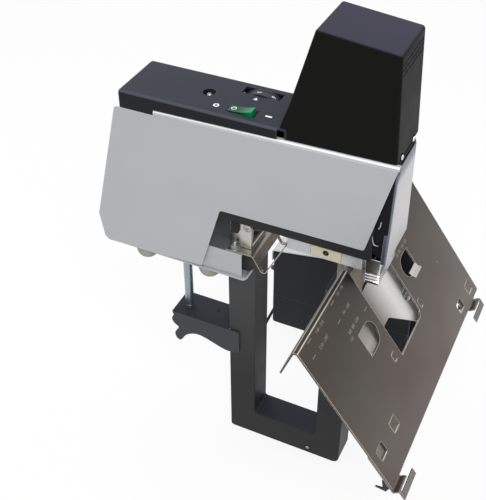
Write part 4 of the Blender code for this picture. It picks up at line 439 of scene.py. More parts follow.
plug_placing = at(plug_end.x, plug_y, plug_end.z) @ spun(-90, "X")
back = plug_neck + plug_length
plug_profile = [(0, back), (plug_radius * 0.9, back), (plug_radius * 0.97, back - plug_ease),
                (plug_radius, back - plug_shoulder), (plug_radius, back - plug_length * 0.42),
                (plug_radius * 0.97, back - plug_length * 0.5),
                (plug_radius * 0.86, back - plug_length * 0.62),
                (plug_radius * 0.7, back - plug_length * 0.76),
                (plug_radius * 0.5, back - plug_length * 0.9), (plug_radius * 0.4, plug_neck)]
for ring in range(4):
    height = plug_neck - plug_ring_gap - ring * plug_ring_pitch
    wide = plug_radius * (0.38 - 0.035 * ring)
    edge, groove, foot = [height - drop for drop in plug_ring_drops]
    plug_profile += [(wide, height), (wide, edge), (wide * 0.86, groove), (wide * 0.86, foot)]
plug_profile.append((0, 0))
mains_plug = piece("mains_plug", turned(plug_profile, plug_placing, 48), relief_black, "frame", "mains_plug",
                   bevel=0.0003)
pins = [turned([(0, back + plug_pin_length), (plug_pin_radius * 0.55, back + plug_pin_length),
                (plug_pin_radius, back + plug_pin_length - pin_ease), (plug_pin_radius, back - pin_root),
                (0, back - pin_root)], plug_placing @ at(side * plug_pin_spread, 0, 0), 24)
        for side in (-1, 1)]
plug_pins = piece("plug_pins", joined(*pins), pin_metal, "frame")


def relief(radius, length, placing, name, node):
    """A strain relief: a flange against the housing, and a tapered sleeve of soft rings."""
    profile = [(0, relief_flange), (radius + clearance, relief_flange), (radius + clearance, 0),
               (radius + relief_flange, 0), (radius + relief_flange, -relief_flange * 0.8),
               (radius + relief_flange * 0.8, -relief_flange)]
    rings = 6
    pitch = (length - relief_flange) / rings
    for ring in range(rings):
        height = -relief_flange - ring * pitch
        wide = radius * (1.5 - 0.4 * ring / rings)
        profile += [(wide, height - pitch * 0.08), (wide, height - pitch * 0.62),
                    (wide * 0.88, height - pitch * 0.7), (wide * 0.88, height - pitch * 0.98)]
    profile.append((0, -length))
    return piece(name, turned(profile, placing, 40), relief_black, "frame", node)


relief(mains_radius, mains_relief, at(lead_x, mains_y, body_underside), "mains_relief", "mains_gland")
relief(pedal_lead_radius, pedal_relief, at(lead_x, pedal_lead_y, body_underside), "pedal_lead_relief",
       "lead_gland")
relief(pedal_lead_radius, pedal_entry_reach, at(*pedal_entry) @ spun(90, "X"), "pedal_entry_relief",
       "pedal_gland")


def coil_tie(name, centre, mean_radius, turns, cord_radius, bearing):
    """A flat tie round the bundle of loops, with its little locking head on top."""
    pitch = 2 * cord_radius + coil_space
    half = pitch * turns / 4 * 0.5 + pitch + cord_radius * 0.2
    top = 2 * cord_radius + clearance + pitch + tie_slack
    strap = oblong((-half, half), (tie_lift, top), cord_radius)
    inner = [(across * 0.985, 3 * tie_lift + (up - tie_lift) * 0.955) for across, up in strap]
    wide, head_top = tie_half_width, top + tie_head_height
    loop = plate([strap, inner], -wide, wide)
    head = plate([rounded([
        (-wide, top - tie_sink, tie_foot_corner), (wide * 1.6, top - tie_sink, tie_foot_corner),
        (wide * 1.6, head_top, tie_top_corner), (-wide, head_top, tie_top_corner)])],
        -wide * 1.15, wide * 1.15)
    mesh = joined(loop, head)
    mesh.transform(at(*centre, 0) @ spun(bearing, "Z") @ at(mean_radius, 0, 0) @ spun(90, "X"))
    return piece(name, mesh, relief_black, "frame", bevel=0.00008, segments=1)


def arc_at(before, here, after, radius, steps):
    """The arc that rounds one corner of an outline."""
    corner = Vector(here)
    toward = (Vector(before) - corner).normalized()
    ahead = (Vector(after) - corner).normalized()
    half = toward.angle(ahead) / 2
    centre = corner + (toward + ahead).normalized() * radius / math.sin(half)
    first = corner + toward * radius / math.tan(half) - centre
    last = corner + ahead * radius / math.tan(half) - centre
    sweep = first.angle(last)
    return [tuple(centre + (first * math.sin((1 - step / steps) * sweep)
                            + last * math.sin(step / steps * sweep))
                  / math.sin(sweep)) for step in range(steps + 1)]


def rounded(corners, closed=True, steps=8):
    """An outline from corners (across, up) or (across, up, radius)."""
    outline = []
    for index, corner in enumerate(corners):
        ending = not closed and index in (0, len(corners) - 1)
        if len(corner) < 3 or ending:
            outline.append(tuple(corner[:2]))
            continue
        outline.extend(arc_at(corners[index - 1][:2], corner[:2], corners[(index + 1) % len(corners)][:2],
                              corner[2], steps))
    return outline


def oblong(across, up, radius, steps=8):
    """A rectangle between two values each way, with rounded corners."""
    return rounded([(x, z, radius) for x, z in ((across[0], up[0]), (across[1], up[0]), (across[1], up[1]),
                                                (across[0], up[1]))], steps=steps)


def settled(thing, *helpers):
    """The mesh that an object comes to. It and its helpers are then taken away."""
    mesh = bpy.data.meshes.new_from_object(thing.evaluated_get(bpy.context.evaluated_depsgraph_get()))
    for used in (thing, *helpers):
        bpy.data.objects.remove(used)
    return mesh


def flat_mesh(outlines, thickness):
    """A flat shape with its holes, filled, with thickness about the plane, or none."""
    curve = bpy.data.curves.new("outline", "CURVE")
    curve.dimensions = "2D"
    curve.fill_mode = "BOTH"
    curve.extrude = thickness / 2
    for outline in outlines:
        spline = curve.splines.new("POLY")
        spline.points.add(len(outline) - 1)
        for point, place in zip(spline.points, outline):
            point.co = (place[0], place[1], 0, 1)
        spline.use_cyclic_u = True
    return settled(placed("outline", curve))


def plate(outlines, low, high, placing=Matrix.Identity(4)):
    """A flat shape given thickness from low to high along the placing's third axis."""
    shape = bmesh.new()
    shape.from_mesh(flat_mesh(outlines, high - low))
    bmesh.ops.remove_doubles(shape, verts=shape.verts, dist=0.000005)
    bmesh.ops.translate(shape, vec=(0, 0, (low + high) / 2), verts=shape.verts)
    bmesh.ops.dissolve_limit(shape, angle_limit=0.001, verts=shape.verts, edges=shape.edges)
    return mesh_from(shape, placing)


mains_tie = coil_tie("mains_coil_tie", mains_middle, mains_coil_radius, mains_turns, mains_radius, 20)
pedal_tie = coil_tie("pedal_coil_tie", pedal_middle, pedal_coil_radius, pedal_turns, pedal_lead_radius, 60)
round(length_of(mains_places), 3)
round(length_of(pedal_places), 3)

# ---------------------------------------------------------------------------------------------
# The C frame: one heavy steel plate, cut in the shape of a column, foot bar and post, and powder
# coated black. A small bright socket screw sits in its foot.
along_x = Matrix(((0, 0, 1), (1, 0, 0), (0, 1, 0))).to_4x4()
along_y = Matrix(((1, 0, 0), (0, 0, -1), (0, 1, 0))).to_4x4()
frame_half = 0.017
column_front, column_rear, column_top = 0.043, 0.075, 0.2895
post_front, post_rear, post_top = -0.075, -0.036, 0.2697
bar_top = 0.037
post_shin, post_step_top, post_step_foot = -0.067, 0.248, 0.236
inner_fillet, toe_radius, heel_radius = 0.003, 0.008, 0.004
frame_screw_y, frame_screw_z, frame_screw_radius, frame_screw_height = -0.028, 0.0113, 0.0019, 0.0022
overshoot, floor_shade_height = 0.01, 0.26


def block(x, y, z):
    """A box mesh between two values on each axis."""
    shape = bmesh.new()
    bmesh.ops.create_cube(shape, size=1)
    bmesh.ops.scale(shape, vec=[high - low for low, high in (x, y, z)], verts=shape.verts)
    return mesh_from(shape, Matrix.Translation([(low + high) / 2 for low, high in (x, y, z)]))


def carved(mesh, *tools, operation="DIFFERENCE"):
    """The mesh with each tool cut out of it, or joined to it."""
    target = placed("target", mesh)
    helpers = [placed("tool", tool) for tool in tools]
    for helper in helpers:
        step = target.modifiers.new("carve", "BOOLEAN")
        step.operation = operation
        step.solver = "EXACT"
        step.object = helper
    return settled(target, *helpers)


def ring_outline(radius, steps=40, centre=(0, 0), phase=0.0):
    """So many points evenly round a centre: six make a hexagon."""
    turns = [math.tau * step / steps + phase for step in range(steps)]
    return [(centre[0] + radius * math.cos(turn), centre[1] + radius * math.sin(turn)) for turn in turns]


def socket_screw(radius, height, placing):
    """A cap screw's head: plain round rim, eased top and a six-sided socket."""
    profile = [(0, height), (radius * 0.86, height), (radius, height * 0.86), (radius, 0), (0, 0)]
    socket = plate([ring_outline(radius * 0.52, 6)], height * 0.3, height * 1.5)
    head = carved(turned(profile, steps=40), socket)
    head.transform(placing)
    return head


def painted_top_shade(start, places, body):
    """Painted shade: the coat is drawn bluer and darker where it faces up than on the plate's sides."""
    return ((upward(start) - 0.5) * 3).held().mix(body, linear(42, 45, 54))


def painted_floor_shade(start, places, body):
    """Painted shade: the plate is darkest near the floor and on the faces that look up."""
    low = ((floor_shade_height - places.part("Z")) * 6).held()
    return painted_top_shade(start, places, low.mix(body, linear(42, 42, 43)))


# The frame's coat carries painted shade near the floor and on its tops.
powder_black = finish("frame_steel", (68, 68, 68), 0.5, grain=1300, depth=0.00008, edge=(84, 84, 86),
                      patch=0.07, shine=0.15, paint=painted_floor_shade)
dark_screw = finish("frame_steel", (52, 52, 54), 0.35, metallic=0.8, kind="_screw")
frame_outline = rounded([
    (column_rear, 0, heel_radius), (column_rear, column_top), (column_front, column_top),
    (column_front, bar_top, inner_fillet), (post_rear, bar_top, inner_fillet), (post_rear, post_top),
    (post_front, post_top), (post_front, post_step_top), (post_shin, post_step_foot),
    (post_shin, 0, toe_radius)], steps=14)
piece("c_frame_plate", plate([frame_outline], -frame_half, frame_half, along_x), powder_black, "frame",
      "c_frame", bevel=0.0012, segments=3)
facing_left = spun(-90, "Y")
piece("frame_screw", socket_screw(frame_screw_radius, frame_screw_height, Matrix.Translation(
    (-frame_half, frame_screw_y, frame_screw_z)) @ facing_left), pin_metal, "frame", bevel=0.0002)

# ---------------------------------------------------------------------------------------------
# The desk clamp: a pressed channel bracket behind the column, coated slightly bluer than the
# frame, with a zinc-plated screw through its welded nut and a swivelling pressure pad on top.
bracket_sheet, bracket_hole_radius, bracket_hole = 0.002, 0.0026, (0.004, 0.098)
bracket_start, bracket_end, bracket_foot, bracket_top = 0.062, 0.149, 0.1220, 0.1670
rod_radius, rod_y, rod_foot, rod_top = 0.005, 0.1345, 0.137, 0.2350
collar_radius, collar_height, collar_ease, rod_ease = 0.0078, 0.0015, 0.0008, 0.001
nut_radius, nut_height = 0.0095, 0.009
pad_radius, pad_height = 0.010, 0.006
thread_pitch, thread_depth, thread_top = 0.0015, 0.0005, 0.1715
cheek_shares = ((0.97, 0.86), (1, 0.74), (0.985, 0.62), (0.94, 0.53), (0.905, 0.48), (0.925, 0.38),
                (0.962, 0.26), (0.96, 0.12), (0.92, 0.02), (0.875, 0.03), (0.835, 0.15), (0.79, 0.27),
                (0.72, 0.37), (0.62, 0.43), (0.5, 0.4), (0.21, 0.22), (0.03, 0.255))


def rod(radius, placing, centre, low, high, sides=48):
    """A round bar from low to high along the placing's third axis."""
    shape = bmesh.new()
    bmesh.ops.create_cone(shape, cap_ends=True, segments=sides, radius1=radius, radius2=radius,
                          depth=high - low)
    bmesh.ops.translate(shape, vec=(centre[0], centre[1], (low + high) / 2), verts=shape.verts)
    return mesh_from(shape, placing)


def bracket_place(share):
    """A place on the bracket's side, from shares of its length and height."""
    return (bracket_start + share[0] * (bracket_end - bracket_start),
            bracket_foot + share[1] * (bracket_top - bracket_foot))


upright = Matrix.Identity(4)
cheek = [bracket_place((0, 0.3)), bracket_place((0, 1)), bracket_place((0.99, 1))]
cheek += [place.to_2d() for place in smooth_path([(*bracket_place(share), 0) for share in cheek_shares], 64)]
cheek = [tuple(place) for place in cheek]
channel_half = frame_half + clearance + bracket_sheet
channel_inner = frame_half + clearance
bracket = carved(
    plate([cheek], -channel_half, channel_half, along_x),
    block((-channel_inner, channel_inner), (bracket_start - overshoot, bracket_end + overshoot),
          (bracket_foot - overshoot, bracket_top - bracket_sheet)),
    block((-channel_inner, channel_inner), (bracket_start - overshoot, column_rear + clearance),
          (bracket_foot - overshoot, bracket_top + overshoot)),
    rod(bracket_hole_radius, upright, bracket_hole, bracket_top - overshoot, bracket_top + overshoot, 24),
    rod(rod_radius + clearance, upright, (0, rod_y), bracket_top - overshoot, bracket_top + overshoot))
# The bracket's tops carry the same painted shade as the frame's.
bracket_blue = finish("bracket_steel", (58, 61, 65), 0.42, grain=1300, depth=0.00006, edge=(92, 95, 102),
                      shine=0.15, paint=painted_top_shade)
piece("clamp_channel", bracket, bracket_blue, "frame", "clamp_bracket", bevel=0.0007, segments=3)
collar_top, collar_bore = bracket_top + collar_height, rod_radius + clearance
collar = turned([(collar_bore, collar_top), (collar_radius - collar_ease, collar_top),
                 (collar_radius, collar_top - collar_ease), (collar_radius, bracket_top),
                 (collar_bore, bracket_top)], closed=True)
nut_foot = bracket_top - bracket_sheet - nut_height
hexagon, bore = ring_outline(nut_radius, 6, (0, rod_y)), ring_outline(rod_radius * 1.06, 40, (0, rod_y))
collar.transform(at(0, rod_y, 0))
piece("clamp_nut", joined(collar, plate([hexagon, bore], nut_foot, nut_foot + nut_height)), bracket_blue,
      "frame", bevel=0.0005, segments=3)


def threaded_rod(radius, low, high, thread_end, pitch, depth):
    """A rod with a real thread up to thread_end and a plain, polished shank above it."""
    sides, rows_per_turn = 28, 8
    rows = round((thread_end - low) / pitch * rows_per_turn)
    heights = [low + (thread_end - low) * row / rows for row in range(rows + 1)] + [high - rod_ease, high]
    shape = bmesh.new()
    rings = []
    for height in heights:
        ring = []
        for side in range(sides):
            phase = (height / pitch - side / sides) % 1
            fade = min(max((thread_end - height) / (2 * pitch), 0), 1)
            reach = radius - depth * fade * abs(2 * phase - 1)
            if height == high:
                reach = radius - rod_ease
            turn = math.tau * side / sides
            ring.append(shape.verts.new((reach * math.cos(turn), reach * math.sin(turn), height)))
        rings.append(ring)
    for below, above in zip(rings, rings[1:]):
        for side in range(sides):
            after = (side + 1) % sides
            shape.faces.new((below[side], below[after], above[after], above[side]))
    shape.faces.new(rings[0][::-1])
    shape.faces.new(rings[-1])
    return mesh_from(shape, at(0, rod_y, 0))


zinc_blue = finish("zinc", (148, 164, 172), 0.3, metallic=0.9, stretch=(30, 30, 700), grain=30,
                   depth=0.00002, kind="_blue")
zinc_plain = finish("zinc", (172, 174, 176), 0.34, metallic=0.95, stretch=(60, 60, 60), grain=20)
piece("clamp_rod", threaded_rod(rod_radius, rod_foot, rod_top, thread_top, thread_pitch, thread_depth),
      zinc_blue, "clamp", "clamp_screw")
pad_foot = rod_top + clearance
pad_profile = [(0, pad_foot + pad_height), (pad_radius * 0.9, pad_foot + pad_height),
               (pad_radius, pad_foot + pad_height * 0.9), (pad_radius, pad_foot + pad_height * 0.62),
               (pad_radius * 0.94, pad_foot + pad_height * 0.5),
               (pad_radius * 0.72, pad_foot + pad_height * 0.34),
               (pad_radius * 0.6, pad_foot + pad_height * 0.18), (pad_radius * 0.58, pad_foot),
               (0, pad_foot)]
piece("clamp_pressure_pad", turned(pad_profile, at(0, rod_y, 0)), zinc_plain, "clamp",
      "clamp_pad", bevel=0.0003)

# ---------------------------------------------------------------------------------------------
# The body's base: a pressed tray on the column with a bottom plate, four soft grey feet for desk
# use, and the box bracket that carries the chassis, held by one bolt down into the column.
tray_top = 0.292
tray_half, tray_sheet, tray_front, tray_rear, tray_foot = 0.0295, 0.0012, 0.053, 0.205, 0.2623
tray_rise, far_rise, tray_rise_run, tray_wall_top = 0.0905, 0.0725, 0.0045, 0.325
guard_sheet, guard_half, guard_window = 0.0012, 0.028, 0.024
mount_rear, mount_sheet = 0.0710, 0.003
bolt_y, bolt_radius, bolt_head = 0.059, 0.003, 0.006
bolt_depth = 0.024
foot_radius, foot_height = 0.0125, 0.016
plate_underside = 0.2597
foot_x, foot_rows, foot_rim = 0.0175, (("front", 0.0965), ("rear", 0.1737)), 0.0005
tray_skin, tray_slot_lead, cut_margin, cut_bite = 0.0015, 0.0025, 0.005, 0.0005
washer_lift, washer_face, bolt_chamfer = 0.0006, 0.0007, 0.001
guard_bend, knee_bend = 0.003, 0.0042
opening_low, opening_high, opening_run, opening_side, opening_drop = 0.2828, 0.3135, 0.010, 0.003, 0.006
knee_y, knee_z, tip_y, tip_z = 0.0290, 0.2700, 0.0050, 0.3180
stud_x, stud_y, stud_radius, stud_top = 0.0225, 0.0635, 0.0021, 0.0086
washer_radius, washer_sheet, nut_reach, nut_top = 0.0052, 0.0008, 0.0042, 0.0038
stud_ease_in, stud_ease_down, stud_sink = 0.0007, 0.0006, 0.0002


def dress(material, bevel, *names):
    """Gives CAD pieces whose shape is right their finish and eased edges."""
    for name in names:
        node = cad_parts[name]
        node.data.materials.clear()
        node.data.materials.append(material)
        node.data.shade_smooth()
        weld = node.modifiers.new("weld", "WELD")
        weld.merge_threshold = 0.000005
        soften(node, bevel, 2, 40)


def beside(path, offset):
    """The path moved sideways, to its left for a positive offset."""
    points = [Vector(point) for point in path]
    moved = []
    for index, point in enumerate(points):
        sides = []
        if index:
            sides.append((point - points[index - 1]).normalized())
        if index < len(points) - 1:
            sides.append((points[index + 1] - point).normalized())
        normals = [Vector((-side.y, side.x)) for side in sides]
        middle = sum(normals, Vector((0, 0))).normalized()
        moved.append(tuple(point + middle * offset / middle.dot(normals[0])))
    return moved


def bent_sheet(path, thickness, low, high, placing=along_x):
    """A bent sheet: a path given thickness to its left, across the whole width."""
    return plate([list(path) + beside(path, thickness)[::-1]], low, high, placing)


def bright_fold(start, places, body):
    """The rounded fold along a cover's top catches the light as a thin white line."""
    return between(upward(start), 0.35, 0.93, 0.2).mix(body, linear(238, 238, 241))


silver_paint = finish("cover_silver", (170, 172, 175), 0.42, grain=1500, depth=0.00003, patch=0.025,
                      edge=(206, 208, 211), edge_width=0.0009, paint=bright_fold)
plate_paint = finish("cover_silver", (168, 170, 173), 0.44, grain=1500, depth=0.00003, patch=0.025,
                     kind="_plate")
tray_paint = finish("cover_silver", (168, 171, 172), 0.4, grain=1500, depth=0.00003, patch=0.04,
                    kind="_tray", edge=(212, 214, 216), edge_width=0.0009)
bright = finish("bright_steel", (186, 184, 180), 0.27, metallic=0.95, stretch=(60, 900, 60), grain=4,
                depth=0.00002, patch=0.12, edge=(226, 224, 220))
rubber = finish("grey_rubber", (150, 147, 140), 0.78, grain=800, depth=0.00008, patch=0.07)
tray_side = [(tray_front, tray_foot), (tray_front, tray_top), (far_rise, tray_top),
             (far_rise + tray_rise_run, tray_wall_top), (tray_rear, tray_wall_top), (tray_rear, tray_foot)]
near_end = tray_rise + tray_rise_run
near_cut = [(far_rise - cut_margin, tray_top), (tray_rise, tray_top), (near_end, tray_wall_top),
            (near_end, tray_wall_top + overshoot), (far_rise - cut_margin, tray_wall_top + overshoot)]
tray_inner = tray_half - tray_sheet
tray = carved(
    plate([tray_side], -tray_half, tray_half, along_x),
    plate([near_cut], -tray_half - overshoot, -tray_inner + cut_bite, along_x),
    block((-tray_inner, tray_inner), (tray_front - overshoot, tray_rear + overshoot),
          (tray_foot - overshoot, tray_top - tray_skin)),
    block((-tray_inner, tray_inner), (column_rear - tray_slot_lead, tray_rear + overshoot),
          (tray_foot - overshoot, tray_wall_top + overshoot)),
    rod(bolt_radius + clearance, upright, (0, bolt_y), tray_top - overshoot, tray_top + overshoot, 32))
piece("tray_pressing", tray, tray_paint, "frame", "base_tray", bevel=0.0004)
dress(plate_paint, 0.0004, "bottom_plate")
dress(bright, 0.0004, "body_mount")
for row, foot_y in foot_rows:
    top = plate_underside
    dome = [(0, top), (foot_radius * 0.99, top), (foot_radius, top - foot_rim),
            (foot_radius, top - foot_height * 0.32)]
    dome += [(foot_radius * (0.45 + 0.55 * math.cos(turn)),
              top - foot_height * (0.32 + 0.68 * math.sin(turn)))
             for turn in (step * math.pi / 20 for step in range(1, 11))]
    dome.append((0, top - foot_height))
    for side, x in (("left", -foot_x), ("right", foot_x)):
        corner = row + "_" + side
        piece("rubber_foot_" + corner, turned(dome, at(x, foot_y, 0), 48), rubber, "frame", "foot_" + corner)

# The bolt has a six-sided head with a pressed washer face and goes down into the column's top.
seat = tray_top + clearance + guard_sheet + clearance + mount_sheet + clearance
bolt_foot = column_top - bolt_depth + bolt_radius
bolt = joined(plate([ring_outline(bolt_head, 6)], seat + washer_lift, seat + bolt_head),
              turned([(0, seat + washer_face), (bolt_head * 0.96, seat + washer_face),
                      (bolt_head * 0.96, seat), (bolt_radius, seat),
                      (bolt_radius, bolt_foot + bolt_chamfer), (bolt_radius * 0.7, bolt_foot),
                      (0, bolt_foot)], steps=32))
bolt.transform(at(0, bolt_y, 0))
piece("column_hex_bolt", bolt, zinc_plain, "frame", "column_bolt", bevel=0.0003)

# The paper guard: a strip of bright steel bent in a V below the throat, bolted under the mount.
# Two studs with washers and nuts stand through it beside the mount.
guard_path = rounded([(mount_rear, tray_top + clearance),
                      (column_front - guard_sheet, tray_top + clearance, guard_bend),
                      (knee_y, knee_z, knee_bend), (tip_y, tip_z)], closed=False, steps=10)
guard = bent_sheet(guard_path, -guard_sheet, -guard_half, guard_half)
guard_opening = [(column_front, opening_low), (knee_y, opening_low), (tip_y + opening_run, opening_high),
                 (tip_y - opening_side, opening_high), (knee_y - opening_run, knee_z - opening_drop),
                 (column_front, knee_z - opening_drop)]
guard = carved(guard, plate([guard_opening], -guard_window, guard_window, along_x))
guard_steel = finish("bright_steel", (150, 144, 134), 0.3, metallic=0.9, stretch=(4, 300, 300), grain=8,
                     depth=0.00002, patch=0.2, edge=(230, 228, 222), edge_width=0.0008, kind="_guard")
piece("paper_guard_strip", guard, guard_steel, "frame", "paper_guard", bevel=0.0003)
stud_foot = tray_top + clearance + guard_sheet
for side in (-1, 1):
    stack = joined(
        turned([(0, washer_sheet), (washer_radius, washer_sheet), (washer_radius, 0), (0, 0)], steps=32),
        plate([ring_outline(nut_reach, 6, phase=0.3)], washer_sheet, nut_top),
        turned([(0, stud_top), (stud_radius - stud_ease_in, stud_top),
                (stud_radius, stud_top - stud_ease_down), (stud_radius, nut_top - stud_sink),
                (0, nut_top - stud_sink)], steps=24))
    stack.transform(at(side * stud_x, stud_y, stud_foot))
    piece("guard_stud_" + ("right" if side > 0 else "left"), stack, zinc_plain, "frame", bevel=0.00025)

# ---------------------------------------------------------------------------------------------
# The body's sides: two flat steel covers in silver paint, each with its top edge folded over,
# on black chassis plates that show as a dark line along the throat. A rear panel closes the end.
cover_half, cover_sheet, cover_flange = 0.034, 0.0016, 0.005
cover_front, cover_front_top = -0.1016, 0.4487
step_y, step_top = 0.1440, 0.4435
rear_top_y, rear_top = 0.1854, 0.438
cover_bend, cover_lip = 0.0028, 0.0022
far_cover_front, cover_toe = -0.0960, -0.0772
cover_inner = cover_half - cover_sheet
throat_corner, toe_corner, heel_corner, fold_overlap = 0.004, 0.0025, 0.0012, 0.001
toe_z, throat_end, throat_foot = 0.3478, (0.0745, 0.3463), (0.0979, 0.2657)
heel_front, heel_rear, heel_top = (0.2128, 0.2617), (0.2176, 0.2659), (0.2222, 0.2957)
top_slope = math.atan2(step_top - cover_front_top, step_y - cover_front)
for name, side, front in (("left", -1, cover_front), ("right", 1, far_cover_front)):
    front_top = cover_front_top + (front - cover_front) * math.tan(top_slope)
    lean = (cover_front - cover_toe) / (cover_front_top - toe_z)
    cover_outline = rounded([
        (rear_top_y + cover_lip, rear_top, throat_corner), (step_y, rear_top),
        (step_y, step_top - cover_bend), (front - lean * cover_bend, front_top - cover_bend),
        (cover_toe, toe_z, toe_corner),
        (*throat_end, throat_corner), (*throat_foot, throat_corner / 2), (*heel_front, heel_corner),
        (*heel_rear, heel_corner), heel_top], steps=8)
    cover = plate([cover_outline], *sorted((side * cover_inner, side * cover_half)), along_x)
    tight = cover_bend - cover_sheet
    quarter = [step * math.pi / 16 for step in range(9)]
    outer_bend = [(cover_half - cover_bend + cover_bend * math.sin(turn),
                   -cover_bend + cover_bend * math.cos(turn)) for turn in quarter]
    inner_bend = [(cover_half - cover_bend + tight * math.sin(turn), -cover_bend + tight * math.cos(turn))
                  for turn in quarter]
    section = ([(cover_half - cover_flange, 0)] + outer_bend + [(cover_half, -cover_bend - fold_overlap),
               (cover_inner, -cover_bend - fold_overlap)] + inner_bend[::-1]
               + [(cover_half - cover_flange, -cover_sheet)])
    on_line = at(0, front, front_top) @ Matrix.Rotation(top_slope, 4, "X") @ along_y
    fold = plate([[(side * across, up) for across, up in section]], front - step_y, 0, on_line)
    piece("cover_" + name, carved(cover, fold, operation="UNION"), silver_paint, "frame",
          "side_cover_" + name, bevel=0.0005, segments=3)
inner_black = finish("inner_black", (40, 40, 42), 0.5, grain=1300, depth=0.00004, edge=(56, 56, 58),
                     shine=0.12)
deep_black = finish("inner_black", (20, 20, 22), 0.5, grain=1300, depth=0.00004, shine=0.12, kind="_deep")
dress(silver_paint, 0.0005, "rear_panel")
dress(inner_black, 0.0005, "chassis_left", "chassis_right")

# Screw heads, each given as its radii, its heights and the size of its slot.
head_flare = 0.0002
mount_screw_sizes = (0.0030, 0.0046), (0.0022, 0.0012, 0.0010), (0.0021, 0.0004)
panel_screw_sizes = (0.0016, 0.0026), (0.0014, 0.0006, 0.0006), (0.0016, 0.0003)
head_screw_sizes = (0.0014, 0.0024), (0.0012, 0.0005, 0.0005), (0.0015, 0.0003)
holder_screw_sizes = (0.0020, 0.0032), (0.0014, 0.0006, 0.0006), (0.0026, 0.0003)


def screw(name, placing, material, bevel, radii, heights, slot, crossed=True):
    """A head with a cross or one slot: radii of its flat and shoulder, heights of its top, its
    shoulder and the slot's floor, and the slot's half length and half width."""
    (flat, shoulder), (top, shoulder_height, floor), (reach, half) = radii, heights, slot
    profile = [(0, top), (flat, top), (shoulder, shoulder_height), (shoulder + head_flare, 0), (0, 0)]
    cuts = [block((-reach, reach), (-half, half), (floor, 2 * top))]
    if crossed:
        cuts.append(block((-half, half), (-reach, reach), (floor, 2 * top)))
    head = carved(turned(profile, steps=32), *cuts)
    head.transform(placing)
    piece(name, head, material, "frame", bevel=bevel)


# Behind the throat a screw boss and a black clip hold the chassis to the mount.
mount_screw_place = (-0.0190, 0.0505, 0.3215)
clip_x, clip_y, clip_z, clip_corner = -0.0225, (0.0600, 0.0680), (0.3130, 0.3270), 0.0012
screw("mount_screw", at(*mount_screw_place) @ facing_left, zinc_plain, 0.0002, *mount_screw_sizes)
clip = plate([oblong(clip_y, clip_z, clip_corner)], clip_x, mount_screw_place[0], along_x)
piece("mount_clip", clip, inner_black, "frame", bevel=0.0004)

# ---------------------------------------------------------------------------------------------
# The top panel: a moulded tray of textured dark plastic behind the head, with the mains switch,
# the slot of the strength wheel, a sunk screw and plain white marks printed on it.
panel_half, panel_front, panel_rear, panel_top = 0.0338, 0.0060, 0.1830, 0.457
panel_wall, panel_edge, panel_shoulder_x, panel_shoulder_y = 0.0022, 0.0038, 0.0315, 0.0150
switch_x, switch_y, switch_half, switch_length = -0.019, 0.056, 0.0065, 0.030
dial_left, dial_width, dial_y, dial_radius, dial_proud = 0.0130, 0.011, 0.052, 0.030, 0.0015
dial_slot_side, dial_slot_length = 0.001, 0.040
recess_radius, recess_y, recess_depth = 0.0065, 0.100, 0.0030
overrun, slot_depth, recess_edge, cut_floor = 0.003, 0.006, 0.0002, 0.430
ring_mark, ring_mark_radii = (-0.019, 0.083), (0.0029, 0.0015)
bar_mark = (-0.0182, -0.0158), (0.0268, 0.0334), 0.0003
arrow_mark = [(0.0048, 0.0518), (0.0092, 0.0540), (0.0048, 0.0562)]


def bevelled(mesh, width, segments, angle=38):
    """The mesh with its sharp edges rounded, for a later cut."""
    target = placed("target", mesh)
    soften(target, width, segments, angle)
    target.modifiers[0].harden_normals = False
    return settled(target)


def below_covers():
    """A tool for all that lies below the covers' top line."""
    step = step_y + clearance
    line = [(rear_top_y + overrun, rear_top + clearance), (step, rear_top + clearance),
            (step, step_top + clearance), (cover_front - overrun, cover_front_top + clearance),
            (cover_front - overrun, cut_floor), (rear_top_y + overrun, cut_floor)]
    return plate([line], -cover_half - overrun, cover_half + overrun, along_x)


panel_foot = rear_top + clearance - overrun
outer = bevelled(block((-panel_half, panel_half), (panel_front, panel_rear),
                       (panel_foot - overshoot, panel_top)), panel_edge, 6)
inner = block((-panel_half + panel_wall, panel_half - panel_wall),
              (panel_front + panel_wall, panel_rear - panel_wall),
              (panel_foot - 2 * overshoot, panel_top - panel_wall))
panel = carved(
    outer, inner, below_covers(),
    block((switch_x - switch_half - clearance, switch_x + switch_half + clearance),
          (switch_y - switch_length / 2 - clearance, switch_y + switch_length / 2 + clearance),
          (panel_top - slot_depth, panel_top + slot_depth)),
    block((dial_left - dial_slot_side, dial_left + dial_width + dial_slot_side),
          (dial_y - dial_slot_length / 2, dial_y + dial_slot_length / 2),
          (panel_top - slot_depth, panel_top + slot_depth)),
    rod(recess_radius, upright, (0, recess_y), panel_top - recess_depth, panel_top + slot_depth),
    *[block(sorted((side * panel_shoulder_x, side * (panel_half + overrun))),
            (panel_front - overrun, panel_shoulder_y), (panel_foot - 2 * overshoot, panel_top + overrun))
            for side in (-1, 1)])


def panel_light_and_shade(start, places, body):
    """Painted light and shade: the sides are plain black, the top is drawn greyer as it is lit from above,
    and the sunk hole is painted dark as shade.
    """
    flat = start.node("VectorMath", {"operation": "MULTIPLY"}, {0: places, 1: (1, 1, 0)})
    away = start.node("VectorMath", {"operation": "DISTANCE"}, {0: flat, 1: (0, recess_y, 0)},
                      output="Value")
    facing = upward(start)
    top = between(facing, 0.45, 0.93, 0.16).mix(((facing - 0.35) * 3).held().mix(linear(28, 29, 31), body),
                                                linear(66, 68, 80))
    return ((recess_radius - recess_edge - away) * 4000).held().mix(top, linear(24, 24, 28))


panel_plastic = finish("panel_plastic", (43, 45, 54), 0.55, grain=1700, depth=0.00007, patch=0.07,
                       shine=0.12, edge=(80, 82, 94), edge_width=0.0012, paint=panel_light_and_shade)
piece("top_panel_moulding", panel, panel_plastic, "frame", "top_panel", bevel=0.0003)
screw("panel_screw", at(0, recess_y, panel_top - recess_depth), zinc_plain, 0.00015, *panel_screw_sizes)


